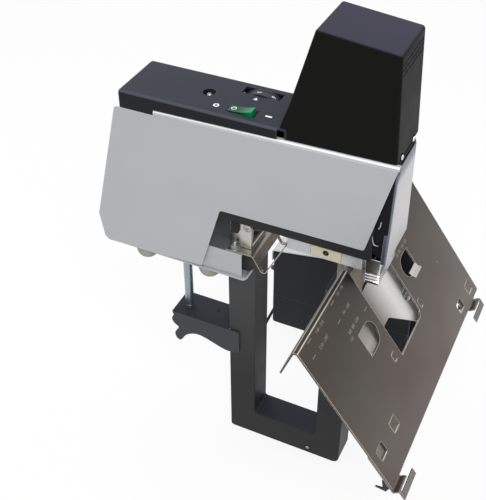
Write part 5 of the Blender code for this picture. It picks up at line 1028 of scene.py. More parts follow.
def lettering(words, height, placing):
    """Printed characters as a thin raised mesh, centred on the placing's origin."""
    drawn = bpy.data.curves.new("print", "FONT")
    drawn.body = words
    drawn.size = height
    drawn.align_x, drawn.align_y = "CENTER", "CENTER"
    drawn.extrude = 0.00003
    drawn.resolution_u = 3
    mesh = settled(placed("print", drawn))
    mesh.transform(placing)
    return mesh


print_height = 0.00005
on_panel = at(0, 0, panel_top)
marks = joined(
    *[plate(outlines, -print_height, print_height, on_panel) for outlines in (
        [ring_outline(radius, centre=ring_mark) for radius in ring_mark_radii], [oblong(*bar_mark)],
        [arrow_mark])])
print_white = finish("panel_plastic", (226, 228, 232), 0.6, kind="_print", depth=0.00001)
piece("panel_marks", marks, print_white, "frame")

# The mains switch: a snap-in housing with a green rocker, tipped so that its front end is up.
# Its pivot lies low in the housing; the ring on its rear half is printed.
rocker_half, rocker_reach, rocker_axis_z = 0.0049, 0.0128, 0.4520
rocker_top, rocker_edge_top, rocker_edge_low, rocker_keel = 0.0068, 0.0080, 0.0012, 0.0080
rocker_tilt, glow_start, ring_lift, rocker_ring_radii = 8, 0.001, 0.0004, (0.0027, 0.0018)
switch_black = finish("head_plastic", (22, 22, 24), 0.35, kind="_switch", depth=0.00002, shine=0.2)
dress(switch_black, 0.0002, "switch_housing")
pivot = at(0, switch_y, rocker_axis_z) @ spun(-rocker_tilt, "X")
arm = [(-rocker_reach * (1 - share), rocker_edge_top + (rocker_top - rocker_edge_top)
        * math.sin(share * math.pi / 2)) for share in (step / 8 for step in range(9))]
rocker_outline = [(-rocker_reach, rocker_edge_low), (0, -rocker_keel), (rocker_reach, rocker_edge_low)] + [
    (-across, up) for across, up in arm] + arm[::-1][1:]
rocker = plate([rocker_outline], switch_x - rocker_half, switch_x + rocker_half, pivot @ along_x)


def lit_green(start, places, body):
    """The rocker's raised front end is lighter, as clear plastic is where light comes through."""
    glow = ((switch_y + glow_start - places.part("Y")) * 90).held()
    return glow.mix(body, linear(0, 126, 80))


green = finish("switch_green", (4, 66, 44), 0.22, patch=0.1, depth=0.00001, coat=0.1, shine=0.25,
               paint=lit_green, edge=(50, 176, 126), edge_width=0.0005)
piece("rocker", rocker, green, "rocker", "rocker_switch", bevel=0.0005, segments=3)
rear_mark = rocker_reach * 0.58
slope_up = rocker_top + (rocker_edge_top - rocker_top) * 0.25 + ring_lift
ring_placing = pivot @ at(switch_x, rear_mark, slope_up) @ spun(3.5, "X")
ring = plate([ring_outline(radius) for radius in rocker_ring_radii], -print_height, print_height,
             ring_placing)
piece("rocker_ring", ring, print_white, "rocker")

# The strength wheel: a knurled plastic wheel on the control's shaft, with white numbers round it.
dial_z = panel_top + dial_proud - dial_radius
notches, knurl, core_drop, shaft_radius, shaft_reach = 120, 0.0004, 0.0006, 0.003, 0.003
number_height, number_drop, number_step, first_number = 0.0062, 0.00062, 30, -128
rim = 0.0022
knurled = []
for notch in range(notches):
    for share, lift in ((0, 0), (0.2, knurl), (0.5, knurl), (0.7, 0)):
        turn = math.tau * (notch + share) / notches
        reach = dial_radius - knurl + lift
        knurled.append((dial_y + reach * math.cos(turn), dial_z + reach * math.sin(turn)))
wheel = joined(
    plate([knurled], dial_left, dial_left + rim, along_x),
    plate([knurled], dial_left + dial_width - rim, dial_left + dial_width, along_x),
    plate([ring_outline(dial_radius - core_drop, 96, (dial_y, dial_z))], dial_left + rim,
          dial_left + dial_width - rim, along_x),
    plate([ring_outline(shaft_radius, 24, (dial_y, dial_z))], dial_left - shaft_reach, dial_left, along_x))
wheel_black = finish("head_plastic", (40, 40, 50), 0.4, kind="_wheel", coat=0.05, shine=0.3)
piece("strength_wheel", wheel, wheel_black, "dial", "strength_dial", bevel=0.00012, segments=1)
numbers = []
for number in range(9):
    lean = math.radians(number * number_step + first_number)
    placing = (at(dial_left + dial_width / 2, dial_y, dial_z) @ Matrix.Rotation(lean, 4, "X")
               @ at(0, 0, dial_radius - number_drop) @ spun(180, "Z"))
    numbers.append(lettering(str(number + 1), number_height, placing))
piece("wheel_numbers", joined(*numbers), print_white, "dial")
board_green = finish("board", (34, 84, 50), 0.45, grain=500)
dress(board_green, 0.0003, "control_board")
dress(zinc_plain, 0.0003, "potentiometer")

# ---------------------------------------------------------------------------------------------
# The head: a deep moulded cover in matt black over the solenoid, with three vent grooves across
# its front. Below it the bright front guard folds back at both sides.
head_half, head_wall = 0.0315, 0.0022
head_front, head_front_top_y, head_front_top = -0.0990, -0.0924, 0.5518
head_rear_top_y, head_rear_top = -0.0169, 0.5597
head_waist_y, head_waist, head_skirt_y, head_skirt = 0.0045, 0.4840, 0.0136, 0.4573
vent_count, vent_pitch, vent_height, vent_depth, vent_top = 3, 0.0048, 0.0020, 0.0010, 0.5432
vent_margin, head_ease, notch_depth, screw_shift, screw_seat = 0.003, 0.0024, 0.004, 0.0008, 0.0005
vent_half = head_half - vent_margin
head_screw_places, head_screw_z, head_notch = (-0.0188, 0.0143), 0.4496, 0.0044
head_profile = rounded([
    (head_front, rear_top), (head_front_top_y, head_front_top, 0.0035),
    (head_rear_top_y, head_rear_top, 0.003),
    (head_waist_y, head_waist, 0.012), (head_skirt_y, head_skirt), (head_skirt_y, rear_top)], steps=12)
hollow = [(head_front + head_wall, rear_top - overrun)] + beside(head_profile[1:-2], -head_wall) + [
    (head_skirt_y - 2 * head_wall, head_skirt - overrun), (head_skirt_y - 2 * head_wall, rear_top - overrun)]
head_solid = bevelled(plate([head_profile], -head_half, head_half, along_x), head_ease, 6, 60)
front_floor = [(head_skirt_y + overrun, head_skirt), (panel_front - clearance, head_skirt),
               (panel_front - clearance, cover_front_top + clearance - (cover_front_top - step_top)
                * (panel_front - clearance - cover_front) / (step_y - cover_front)),
               (cover_front, cover_front_top + clearance),
               (cover_front - overrun, cover_front_top + clearance),
               (cover_front - overrun, cut_floor), (head_skirt_y + overrun, cut_floor)]
lean = (head_front_top_y - head_front) / (head_front_top - cover_front_top)
tools = [plate([hollow], -head_half + head_wall, head_half - head_wall, along_x),
         plate([front_floor], -cover_half - overrun, cover_half + overrun, along_x)]
for index in range(vent_count):
    height = vent_top - index * vent_pitch
    face = head_front + lean * (height - cover_front_top)
    tools.append(block((-vent_half, vent_half), (face - overrun, face + vent_depth),
                       (height - vent_height, height)))
for place in head_screw_places:
    tools.append(rod(head_notch, along_y, (place, head_screw_z), -head_front - notch_depth,
                     -head_front + overrun, 32))


def head_top_painted_sheen(start, places, body):
    """Painted reflection: the moulding's top is drawn greyer than its sides, as the sky above shows in it.
    """
    return ((upward(start) - 0.55) * 2.6).held().mix(body, linear(54, 53, 65))


head_plastic = finish("head_plastic", (18, 18, 17), 0.5, grain=1700, depth=0.00005, patch=0.08,
                      paint=head_top_painted_sheen, shine=0.05, edge=(40, 40, 46), edge_width=0.0014)
piece("head_moulding", carved(head_solid, *tools), head_plastic, "frame", "head_cover", bevel=0.0003,
      angle=45)

guard_face, front_sheet, front_top, front_bottom = -0.1000, 0.0015, 0.442, 0.336
front_top_half, front_bottom_half, front_flange, front_bend = 0.0245, 0.033, 0.006, 0.003
front_shade_z = 0.424
front_path = rounded([(front_bottom_half, guard_face + front_flange),
                      (front_bottom_half, guard_face, front_bend),
                      (-front_bottom_half, guard_face, front_bend),
                      (-front_bottom_half, guard_face + front_flange)], closed=False, steps=10)
front_guard = bent_sheet(front_path, -front_sheet, front_bottom, front_top, Matrix.Identity(4))
for vert in front_guard.vertices:
    if vert.co.z > (front_top + front_bottom) / 2:
        vert.co.x *= front_top_half / front_bottom_half


def front_rubbing_and_shade(start, places, body):
    """Worn plated steel with faint warm rubbing; painted shade darkens its top and makes its folded sides
    darker and bluer.
    """
    sideways = start.node("TexCoord", output="Normal").part("X")
    rubbed = ((start.noise(places, 60, 4) - 0.45) * 2.5).held().mix(body, linear(188, 176, 170))
    lit = ((places.part("Z") - front_shade_z) * 90).held().mix(rubbed, linear(92, 98, 110))
    return ((sideways.maths("ABSOLUTE", sideways) - 0.6) * 4).held().mix(lit, linear(104, 110, 126))


front_steel = finish("bright_steel", (190, 190, 194), 0.3, metallic=0.9, stretch=(900, 60, 30), grain=5,
                     depth=0.00002, patch=0.1, edge=(232, 232, 234), paint=front_rubbing_and_shade, kind="_front")
piece("front_guard_plate", front_guard, front_steel, "frame", "front_guard", bevel=0.0004)
guide_screw = finish("zinc", (214, 216, 220), 0.25, metallic=0.8, kind="_bright")
for name, place in zip(("left", "right"), head_screw_places):
    screw("head_screw_" + name, at(place + screw_shift, head_front + screw_seat, head_screw_z)
          @ spun(90, "X"), guide_screw, 0.00015, *head_screw_sizes)

# Black inner cheeks close the sides between the covers and the guard; the latch's wire spring
# shows in front of the near one.
cheek_inner, cheek_outer = 0.0295, 0.0303
cheek_outline = [(-0.0975, 0.3370), (-0.0770, 0.3500), (-0.0960, 0.4400), (-0.0975, 0.4400)]
for name, side in (("left", -1), ("right", 1)):
    inner_cheek = plate([cheek_outline], *sorted((side * cheek_inner, side * cheek_outer)), along_x)
    piece("inner_cheek_" + name, inner_cheek, deep_black, "frame", bevel=0.0002, segments=1)
wire_x, wire_radius = -0.0312, 0.0007
for name, bend in (("1", ((-0.0902, 0.3845), (-0.0898, 0.3800), (-0.0885, 0.3757))),
                   ("2", ((-0.0833, 0.3657), (-0.0842, 0.3600), (-0.0861, 0.3559), (-0.0900, 0.3560)))):
    wire = smooth_path([(wire_x, y, z) for y, z in bend], 10)
    round_cord("latch_wire_" + name, wire, wire_radius, zinc_plain, "frame")

# Inside the head: the solenoid's yoke, its copper winding, the plunger with hammer and blade, and the
# return spring under the hammer.
drive_y = -0.0595
coil_radius, coil_bore, winding_depth = 0.023, 0.0112, 0.0015
coil_low, coil_high, coil_cheek = 0.4386, 0.5357, 0.003
spring_radius, spring_low, spring_high = 0.0078, 0.3378, 0.3717
dress(deep_black, 0.0005, "solenoid_bracket")
dress(zinc_plain, 0.0005, "solenoid_yoke", "plunger")
dress(bright, 0.0001, "driver_blade")
copper = finish("winding", (176, 104, 62), 0.38, metallic=0.85, stretch=(4, 4, 900), grain=3, depth=0.00012,
                patch=0.25)
winding = [(coil_bore, coil_high), (coil_radius, coil_high), (coil_radius, coil_high - coil_cheek)]
waist = coil_radius - winding_depth
turns = 40
for turn in range(turns):
    height = coil_high - coil_cheek - (coil_high - coil_low - 2 * coil_cheek) * (turn + 0.5) / turns
    reach = (coil_high - coil_low - 2 * coil_cheek) / turns / 2
    winding += [(waist - reach * 0.5, height + reach), (waist, height + reach * 0.4),
                (waist, height - reach * 0.4)]
winding += [(coil_radius, coil_low + coil_cheek), (coil_radius, coil_low), (coil_bore, coil_low)]
piece("solenoid_winding", turned(winding, at(0, drive_y, 0), 64, closed=True), copper, "frame",
      "solenoid_coil")


def spring_mesh(radius, wire, low, high, coils, centre):
    """A helical spring with closed ends, as a mesh."""
    steps = coils * 20
    places = []
    for step in range(steps + 1):
        share = step / steps
        eased = min(max((share - 0.12) / 0.76, 0), 1)
        turn = math.tau * coils * share
        places.append((centre[0] + radius * math.cos(turn), centre[1] + radius * math.sin(turn),
                       low + wire + (high - low - 2 * wire) * (0.06 * share + 0.94 * eased)))
    curve = bpy.data.curves.new("spring", "CURVE")
    curve.dimensions = "3D"
    curve.bevel_depth = wire
    curve.bevel_resolution = 2
    curve.use_fill_caps = True
    spline = curve.splines.new("POLY")
    spline.points.add(len(places) - 1)
    for point, place in zip(spline.points, places):
        point.co = (*place, 1)
    return settled(placed("spring", curve))


driver_travel, spring_wire = 0.016, 0.0006
spring = spring_mesh(spring_radius, spring_wire, spring_low, spring_high, 9, (0, drive_y))
return_spring = piece("driver_return_spring", spring, bright, "frame", "return_spring", angle=180)
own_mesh(return_spring)

# ---------------------------------------------------------------------------------------------
# The magazine: a zinc-plated guide under the chassis holds the bright sleeve, its rail with the staple
# strip and pusher, and a cream latch with a riveted hole. Its chromed front is the grip.
guide_grey = finish("light_grey", (186, 187, 189), 0.36, metallic=0.35, grain=900, patch=0.1,
                    edge=(216, 216, 216))
chrome = finish("chrome", (216, 217, 219), 0.14, metallic=1.0, patch=0.06, depth=0.00001,
                edge=(245, 245, 245))
dress(guide_grey, 0.0003, "magazine_guide")
dress(chrome, 0.0007, "magazine_grip")
dress(bright, 0.0004, "magazine")
dress(zinc_plain, 0.0003, "staple_rail")
strip_steel = finish("bright_steel", (196, 196, 194), 0.3, metallic=0.95, stretch=(1, 1800, 1), grain=1,
                     depth=0.0002, patch=0.25, kind="_strip")
dress(strip_steel, 0.0001, "staple_strip")
dress(switch_black, 0.0002, "staple_pusher")
latch_corner, latch_bore = 0.0008, 0.0022
eyelet_profile = [(latch_bore, 0.0004), (0.0030, 0.0003), (0.0032, 0), (0.0016, -0.0016), (0.0013, -0.0012)]
latch_low, latch_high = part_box("magazine_latch")
middle_y, middle_z = (latch_low.y + latch_high.y) / 2, (latch_low.z + latch_high.z) / 2
latch_outline = oblong((latch_low.y, latch_high.y), (latch_low.z, latch_high.z), latch_corner)
latch = plate([latch_outline, ring_outline(latch_bore, 40, (middle_y, middle_z))], latch_low.x,
              latch_high.x, along_x)
cream = finish("cream_plastic", (196, 187, 163), 0.42, patch=0.06, grain=700, edge=(230, 224, 206))
piece("latch_block", latch, cream, "frame", "magazine_latch", bevel=0.0003)
eyelet = turned(eyelet_profile, at(latch_low.x, middle_y, middle_z) @ facing_left, 40, closed=True)
piece("latch_eyelet", eyelet, dark_screw, "frame")

# The anvil: a hardened die on a brown steel holder at the post's top, which also carries the
# table's hinge pin. The pin has eased ends, and a groove for a clip near the right one.
holder_steel = finish("table_steel", (120, 112, 104), 0.36, metallic=0.9, stretch=(30, 500, 30), grain=6,
                      patch=0.15, edge=(170, 164, 156), kind="_holder")
dress(holder_steel, 0.0005, "anvil_holder")
dress(bright, 0.0003, "anvil")
pin_radius, pin_z, pin_left, pin_right = 0.0025, 0.3030, -0.0400, 0.0450
pin_end, groove_drops = 0.0005, (0.0030, 0.0034, 0.0044, 0.0048)
clip_groove = [(pin_radius * depth, pin_right - drop) for depth, drop in zip((1, 0.8, 0.8, 1), groove_drops)]
pin_profile = [(0, pin_right), (pin_radius * 0.8, pin_right), (pin_radius, pin_right - pin_end),
               *clip_groove, (pin_radius, pin_left + pin_end), (pin_radius * 0.8, pin_left), (0, pin_left)]
piece("hinge_pin", turned(pin_profile, at(0, drive_y, pin_z) @ spun(90, "Y"), 40), zinc_plain, "frame",
      "table_hinge_pin")
holder_left, holder_screw_y, holder_screw_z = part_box("anvil_holder")[0].x, drive_y + 0.008, 0.2850
screw("holder_screw", at(holder_left, holder_screw_y, holder_screw_z) @ facing_left, zinc_plain, 0.0002,
      *holder_screw_sizes, crossed=False)

# ---------------------------------------------------------------------------------------------
# The saddle table: one sheet of brushed stainless steel with a narrow crown and a short rear flap,
# cut away round the anvil. Its window, D-shaped finger holes and lances have sheared rims, drawn bright by a
# painted highlight.
table_half, table_sheet, table_slope, table_length = 0.155, 0.002, 53.2, 0.170
ridge = Vector((0, -0.0620, 0.3150))
crown_width, crown_bend = 0.005, 0.0022
flap_length, flap_slope, table_corner, hole_corner, lance_corner = 0.034, 69, 0.002, 0.0012, 0.0015
window_left, window_right, window_low, window_chamfer = -0.031, 0.036, 0.1095, 0.006
d_holes = ((-0.0718, -0.0415, 0.0490, 0.0762, False), (0.0478, 0.0755, 0.0495, 0.0750, True))
lances = ((-0.0470, -0.0400, 0.0960, 0.1060), (0.0400, 0.0470, 0.0960, 0.1060),
          (-0.1080, -0.0940, 0.1310, 0.1440), (-0.1445, -0.1300, 0.1310, 0.1440),
          (0.1330, 0.1470, 0.1490, 0.1620), (0.0980, 0.1125, 0.1500, 0.1620))
slope = math.radians(table_slope)
down = Vector((0, -math.cos(slope), -math.sin(slope)))
inward = Vector((0, math.sin(slope), -math.cos(slope)))
in_table = Matrix.Translation(ridge) @ Matrix((Vector((1, 0, 0)), down, inward)).transposed().to_4x4()
drop = math.radians(flap_slope)
low_edge = ridge + down * table_length
crown_rear = ridge.y + crown_width
table_path = [Vector(place) for place in rounded([
    (low_edge.y, low_edge.z), (ridge.y, ridge.z, crown_bend), (crown_rear, ridge.z, crown_bend),
    (crown_rear + flap_length * math.cos(drop), ridge.z - flap_length * math.sin(drop))], closed=False,
    steps=8)]
travelled = [0]
for first, second in zip(table_path, table_path[1:]):
    travelled.append(travelled[-1] + (second - first).length)


def folded(flat):
    """The flat pattern, bent over the table's path and given the sheet's thickness."""
    shape = bmesh.new()
    shape.from_mesh(flat)
    bmesh.ops.remove_doubles(shape, verts=shape.verts, dist=0.000005)
    for height in travelled[1:-1]:
        bmesh.ops.bisect_plane(shape, geom=shape.verts[:] + shape.edges[:] + shape.faces[:], dist=0.0000005,
                               plane_co=(0, height, 0), plane_no=(0, 1, 0))
    for vert in shape.verts:
        index = 0
        while index < len(travelled) - 2 and travelled[index + 1] < vert.co.y - 0.0000005:
            index += 1
        share = (vert.co.y - travelled[index]) / (travelled[index + 1] - travelled[index])
        place = table_path[index].lerp(table_path[index + 1], share)
        vert.co = (vert.co.x, place.x, place.y)
    mesh = bpy.data.meshes.new("sheet")
    bmesh.ops.recalc_face_normals(shape, faces=shape.faces)
    if sum((face.normal.y * face.calc_area() for face in shape.faces)) > 0:
        bmesh.ops.reverse_faces(shape, faces=shape.faces)
    shape.to_mesh(mesh)
    shape.free()
    target = placed("sheet", mesh)
    wall = target.modifiers.new("sheet", "SOLIDIFY")
    wall.thickness = table_sheet
    wall.offset = -1
    wall.use_even_offset = True
    return settled(target)


reach = travelled[-1]
pattern = rounded([
    (-table_half, 0, table_corner), (table_half, 0, table_corner), (table_half, reach, table_corner),
    (window_right, reach, table_corner / 2),
    (window_right, table_length - window_low + window_chamfer),
    (window_right - window_chamfer, table_length - window_low),
    (window_left, table_length - window_low), (window_left, reach, table_corner / 2),
    (-table_half, reach, table_corner)], steps=6)
holes = [pattern]
for first, last, top, foot, chord_right in d_holes:
    arch = (foot - top) * 0.49
    left_round, right_round = (arch, hole_corner) if chord_right else (hole_corner, arch)
    holes.append(rounded([(first, table_length - foot, left_round), (last, table_length - foot, right_round),
                          (last, table_length - top, right_round),
                          (first, table_length - top, left_round)], steps=14))
for first, last, top, foot in lances:
    holes.append(oblong((first, last), (table_length - foot, table_length - top), lance_corner, 5))
sheet = folded(flat_mesh(holes, 0))
ear_sheet, ear_gap, ear_radius = 0.003, 0.0025, 0.0055
ears = []
for inner_x in (window_left - ear_gap, window_right + ear_gap):
    outer_x = inner_x + math.copysign(ear_sheet, inner_x)
    arc = [(drive_y + ear_radius * math.cos(turn), pin_z + ear_radius * math.sin(turn))
           for turn in (math.pi + step * math.pi / 16 for step in range(17))]
    web = [(ridge.y - table_sheet * 2.6, ridge.z - table_sheet * 3.9),
           (ridge.y, ridge.z - table_sheet * 0.6)]
    web_rear = [(crown_rear, ridge.z - table_sheet * 0.6),
                (crown_rear + table_sheet * 1.1, ridge.z - table_sheet * 3.4)]
    ears.append(plate([web[::-1] + arc + web_rear[::-1],
                       ring_outline(pin_radius + clearance, 32, (drive_y, pin_z))],
                      *sorted((inner_x, outer_x)), along_x))


def table_clouds_and_painted_light(start, places, body):
    """Satin steel with warm clouds; painted light makes it darker and browner by the ridge and paler low on
    the right, with a painted highlight on the crown and a painted dark reflection along its flat.
    """
    fall = ((ridge.z - places.part("Z")) * 7.2).held()
    right = ((places.part("X") + table_half) * 3.2).held()
    tone = (fall * 0.85 + right * 0.22 - 0.06).held()
    cloud = start.noise(places, 9, 2)
    shaded = tone.mix(linear(47, 46, 41), linear(112, 104, 99))
    warm = ((cloud - 0.42) * 3).held().mix(shaded, linear(80, 68, 63))
    blend = start.node("Mix", {"data_type": "RGBA"}, {0: 0.55, 6: shaded, 7: warm}, output=2)
    # Painted highlight on the crown's bends; painted dark reflection on its flat.
    crown = ((upward(start) - 0.72) * 6).held()
    groove = between(places.part("Y"), ridge.y + 0.0008, crown_rear - 0.0012, 0.0004)
    return crown.mix(blend, groove.mix(linear(206, 200, 190), linear(70, 64, 60)))


table_steel = finish("table_steel", (90, 84, 78), 0.34, metallic=0.82, stretch=(3, 160, 160), grain=9,
                     depth=0.00003, paint=table_clouds_and_painted_light, edge=(222, 214, 202), edge_width=0.0011)
piece("saddle_table_sheet", joined(sheet, *ears), table_steel, "table", "saddle_table", bevel=0.00035,
      angle=50)

# The tabs bent out below the finger holes, and the small tongues in the lances, are bare metal.
across_table = in_table @ Matrix(((1, 0, 0, 0), (0, 0, 1, 0), (0, 1, 0, 0), (0, 0, 0, 1)))
tongue_sheet, tongue_lift, tongue_gap, tongue_foot_gap = 0.0010, 0.0004, 0.0007, 0.0012
open_lances = 3, 5
tab_sheet, tab_inset, tab_top, tab_end, tab_corner = 0.0010, 0.0012, 0.0002, 0.0052, 0.001
scoop_sheet, scoop_left, scoop_right = 0.0012, 0.0370, 0.0755
lip_sheet, lip_left, lip_right = 0.0014, 0.0540, 0.0735
stop_placing = Matrix.Translation(ridge) @ Matrix((down, -inward, Vector((-1, 0, 0)))).transposed().to_4x4()
lip = rounded([(0.0690, 0.0000), (0.0735, 0.0010, 0.002), (0.0768, 0.0046)], closed=False, steps=6)
scoop = [tuple(place.to_2d()) for place in smooth_path(
    ((0.0764, -0.0026, 0), (0.0730, -0.0044, 0), (0.0660, -0.0060, 0), (0.0540, -0.0066, 0),
     (0.0390, -0.0052, 0)), 14)]
scoop_steel = finish("bright_steel", (140, 133, 129), 0.42, metallic=0.7, depth=0.000003, patch=0.04,
                     kind="_scoop")
piece("finger_scoop", bent_sheet(scoop, scoop_sheet, scoop_left, scoop_right, stop_placing), scoop_steel,
      "table", bevel=0.0003)
tabs = [bent_sheet(lip, lip_sheet, -lip_right, -lip_left, stop_placing)]
tongues = []
for index, (first, last, top, foot) in enumerate(lances):
    begin, end = first + tab_inset, last - tab_inset
    tabs.append(plate([rounded([(begin, tab_top), (end, tab_top), (end, tab_end, tab_corner),
                                (begin, tab_end, tab_corner)])], foot - tab_sheet, foot, across_table))
    if index not in open_lances:
        outline = oblong((first + tongue_gap, last - tongue_gap), (top + tongue_gap, foot - tongue_foot_gap),
                         tab_corner)
        tongues.append(plate([outline], tongue_lift, tongue_lift + tongue_sheet, in_table))
piece("table_tongues", joined(*tongues), table_steel, "table", bevel=0.0002, segments=1)
piece("table_tabs", joined(*tabs), bright, "table", bevel=0.0003)

# Fine pale marks engraved on the table show where common paper sizes stand, as plain numbers.
mark_rows = (("148 - 210", -0.1105, 0.0055, 0.0046), ("105 - 148", -0.0578, 0.0042, 0.0040),
             ("210 - 297", -0.1170, 0.0180, 0.0050), ("74 - 105", -0.0645, 0.0212, 0.0048),
             ("60  80  100", -0.0690, 0.0385, 0.0054), ("120", -0.0825, 0.0446, 0.0044),
             ("60  80  100  120", 0.0675, 0.0442, 0.0048))
ticks = ((-0.1365, -0.1288, 0.0032), (-0.0800, -0.0726, 0.0036), (-0.1426, -0.1360, 0.0165),
         (-0.0870, -0.0800, 0.0210), (-0.0435, -0.0370, 0.0410))
tick_width, tick_corner, dot_radius, dot_place = 0.0007, 0.0001, 0.0009, (0.1122, 0.0968)
table_marks = []
for words, place, across, height in mark_rows:
    table_marks.append(lettering(words, height, in_table @ at(place, across, 0)
                                 @ Matrix.Rotation(math.pi, 4, "X")))
strokes = [oblong((first, last), (across, across + tick_width), tick_corner)
           for first, last, across in ticks]
for stroke in strokes + [ring_outline(dot_radius, 20, dot_place)]:
    table_marks.append(plate([stroke], -print_height, print_height, in_table))
engraved = finish("table_steel", (138, 131, 122), 0.5, metallic=0.5, kind="_marks")
piece("table_marks", joined(*table_marks), engraved, "table")

# The two paper stops: bent strips clamped behind the table's low edge, which slide down the slope.
# Each has a pale leaf spring behind it that presses it to the sheet.
stop_sheet, stop_start, stop_wall, stop_proud, stop_ledge = 0.0015, 0.128, 0.1738, 0.005, 0.0110
stop_places = ("left", -0.1546, -0.1206), ("right", 0.1095, 0.1412)
stop_bend, ledge_bend = 0.0016, 0.0008
slot_margin, slot_inset, wall_inset = 0.001, 0.0035, 0.0215
slot_end, wall_start, slot_reach, wall_reach = 0.0040, -0.0012, 0.01, -0.006
hook_sheet, leaf_sheet, leaf_half = 0.0012, 0.0006, 0.005
leaf_shape = ((0.0205, 0.0002), (0.024, 0.0022), (0.032, 0.0040), (0.040, 0.0026), (0.045, 0.0044))
hook = [(0.1570, -0.0052), (0.1685, -0.0030), (0.1720, -0.0098), (0.1643, -0.0173), (0.1628, -0.0163),
        (0.1665, -0.0100)]
stop_steel = finish("bright_steel", (118, 113, 107), 0.4, metallic=0.85, stretch=(500, 60, 60), grain=5,
                    patch=0.12, edge=(220, 216, 208), kind="_stop")
for name, first, last in stop_places:
    behind, wall_face = -table_sheet - clearance - stop_sheet, stop_wall + stop_sheet
    section = rounded([(stop_start, behind), (wall_face, behind, stop_bend),
                       (wall_face, stop_proud - stop_sheet, ledge_bend),
                       (stop_wall + stop_ledge, stop_proud - stop_sheet)], closed=False, steps=6)
    stop = bent_sheet(section, stop_sheet, -last, -first, stop_placing)
    slot_low, slot_high, wall_low, wall_high = (
        (first + slot_inset, last + slot_margin, first + wall_inset, last + slot_margin) if name == "left"
        else (first - slot_margin, last - slot_inset, first - slot_margin, last - wall_inset))
    gaps = [block((wall_face, stop_wall + slot_end), (0, slot_reach), (-slot_high, -slot_low)),
            block((stop_wall + wall_start, stop_wall + slot_end), (wall_reach, slot_reach),
                  (-wall_high, -wall_low))]
    for gap in gaps:
        gap.transform(stop_placing)
    stop = carved(stop, *gaps)
    piece("stop_" + name, stop, stop_steel, "stop_" + name, "paper_stop_" + name, bevel=0.0003)
    piece("stop_hook_" + name, plate([hook], -first - hook_sheet, -first, stop_placing), dark_screw,
          "stop_" + name, bevel=0.0002, segments=1)
    leaf_at = (first + last) / 2
    leaf = smooth_path([(stop_start + along, behind - away, 0) for along, away in leaf_shape], 24)
    bent = bent_sheet([tuple(place.to_2d()) for place in leaf], -leaf_sheet, -leaf_at - leaf_half,
                      -leaf_at + leaf_half, stop_placing)
    piece("stop_spring_" + name, bent, bright, "stop_" + name, bevel=0.0001, segments=1)

# The support plate behind the window: bright steel polished in arcs, with a flange on the post.
support_sheet, support_depth, support_start, support_end = 0.0015, 0.006, 0.0325, 0.118
support_left, support_right, support_tail_x = -0.034, 0.050, 0.034
support_nick_x, support_nick, support_corner = -0.008, 0.077, 0.007
support_hole_radius, support_hole, support_flange_foot = 0.009, (0.040, 0.082), 0.262
arcs_middle, support_shade_x = (0.006, -0.11, 0.24), -0.024


def polished_arcs(start, places, body):
    """Fine arcs that polishing leaves. The plate's left end lies in shade."""
    centre = start.node("VectorMath", {"operation": "SUBTRACT"}, {0: places, 1: arcs_middle})
    distance = start.node("VectorMath", {"operation": "LENGTH"}, {0: centre}, output="Value")
    arcs = start.node("TexNoise", {"noise_dimensions": "1D"}, {"W": distance, "Scale": 260, "Detail": 3.0})
    lit = ((places.part("X") - support_shade_x) * 26).held()
    polished = ((arcs - 0.3) * 1.2).held().mix(linear(202, 200, 198), linear(212, 210, 208))
    return lit.mix(linear(112, 104, 98), polished)


support_steel = finish("bright_steel", (200, 198, 196), 0.44, metallic=0.85, patch=0.05, depth=0.000003,
                       paint=polished_arcs, edge=(235, 235, 233), kind="_support")
support_outline = rounded([
    (support_left, support_start), (support_right, support_start), (support_right, support_end),
    (support_tail_x, support_end), (support_nick_x, support_nick, support_corner),
    (support_left, support_nick)], steps=6)
support_back = support_depth + support_sheet
flange_top = (ridge + down * support_start + inward * support_back).z
flange_face = post_front - clearance
support = joined(
    plate([support_outline, ring_outline(support_hole_radius, 40, support_hole)], support_depth,
          support_back, in_table),
    block((-frame_half, frame_half), (flange_face - support_sheet, flange_face),
          (support_flange_foot, flange_top)))
piece("support_sheet", support, support_steel, "frame", "saddle_support", bevel=0.0003)

# ---------------------------------------------------------------------------------------------
# The foot pedal: a deep box of black textured plastic with a crease round it, a folded silver hood
# over its top, and a ribbed treadle on a steel pin with its spring and switch below.
pedal_x, pedal_half, pedal_wall, pedal_floor = 0.227, 0.054, 0.003, 0.004
pedal_front, pedal_rear, pedal_sill, pedal_cheek = -0.088, 0.104, 0.014, 0.088
jaw_y, jaw, brow_y, brow, crown_y, crown, pedal_back = -0.060, 0.112, -0.041, 0.140, -0.006, 0.146, 0.127
crease_z, crease_height, crease_depth, lead_room, treadle_room = 0.051, 0.0014, 0.0008, 0.0012, 0.0015
hood_sheet, hood_lift, hood_back_foot, hood_half, hood_lip_half = 0.0015, 0.0023, 0.112, 0.0545, 0.061
hood_nose_y, hood_nose = -0.0475, 0.1345
shell_outline = rounded([(pedal_front, 0, 0.004), (pedal_rear, 0, 0.004), (pedal_rear, pedal_back, 0.004),
                         (crown_y, crown, 0.012), (brow_y, brow, 0.003), (jaw_y, jaw, 0.004),
                         (pedal_front, pedal_cheek, 0.006)], steps=8)
pedal_left, pedal_right = pedal_x - pedal_half, pedal_x + pedal_half
shell = bevelled(plate([shell_outline], pedal_left, pedal_right, along_x), 0.0018, 4)
cavity = [(pedal_front - overrun, pedal_sill), (pedal_front + pedal_wall, pedal_sill),
          (pedal_front + pedal_wall, pedal_floor), (pedal_rear - pedal_wall, pedal_floor),
          (pedal_rear - pedal_wall, crown + overrun), (pedal_front - overrun, crown + overrun)]
pedal_tools = [plate([cavity], pedal_left + pedal_wall, pedal_right - pedal_wall, along_x)]
for wall in (pedal_left, pedal_right):
    pedal_tools.append(block((wall - crease_depth, wall + crease_depth),
                             (pedal_front - overrun, pedal_rear + overrun),
                             (crease_z, crease_z + crease_height)))
pedal_tools.append(rod(pedal_lead_radius + lead_room, along_y, (pedal_entry.x, pedal_entry.z),
                       -pedal_rear - overrun, -pedal_rear + pedal_wall + overrun, 24))


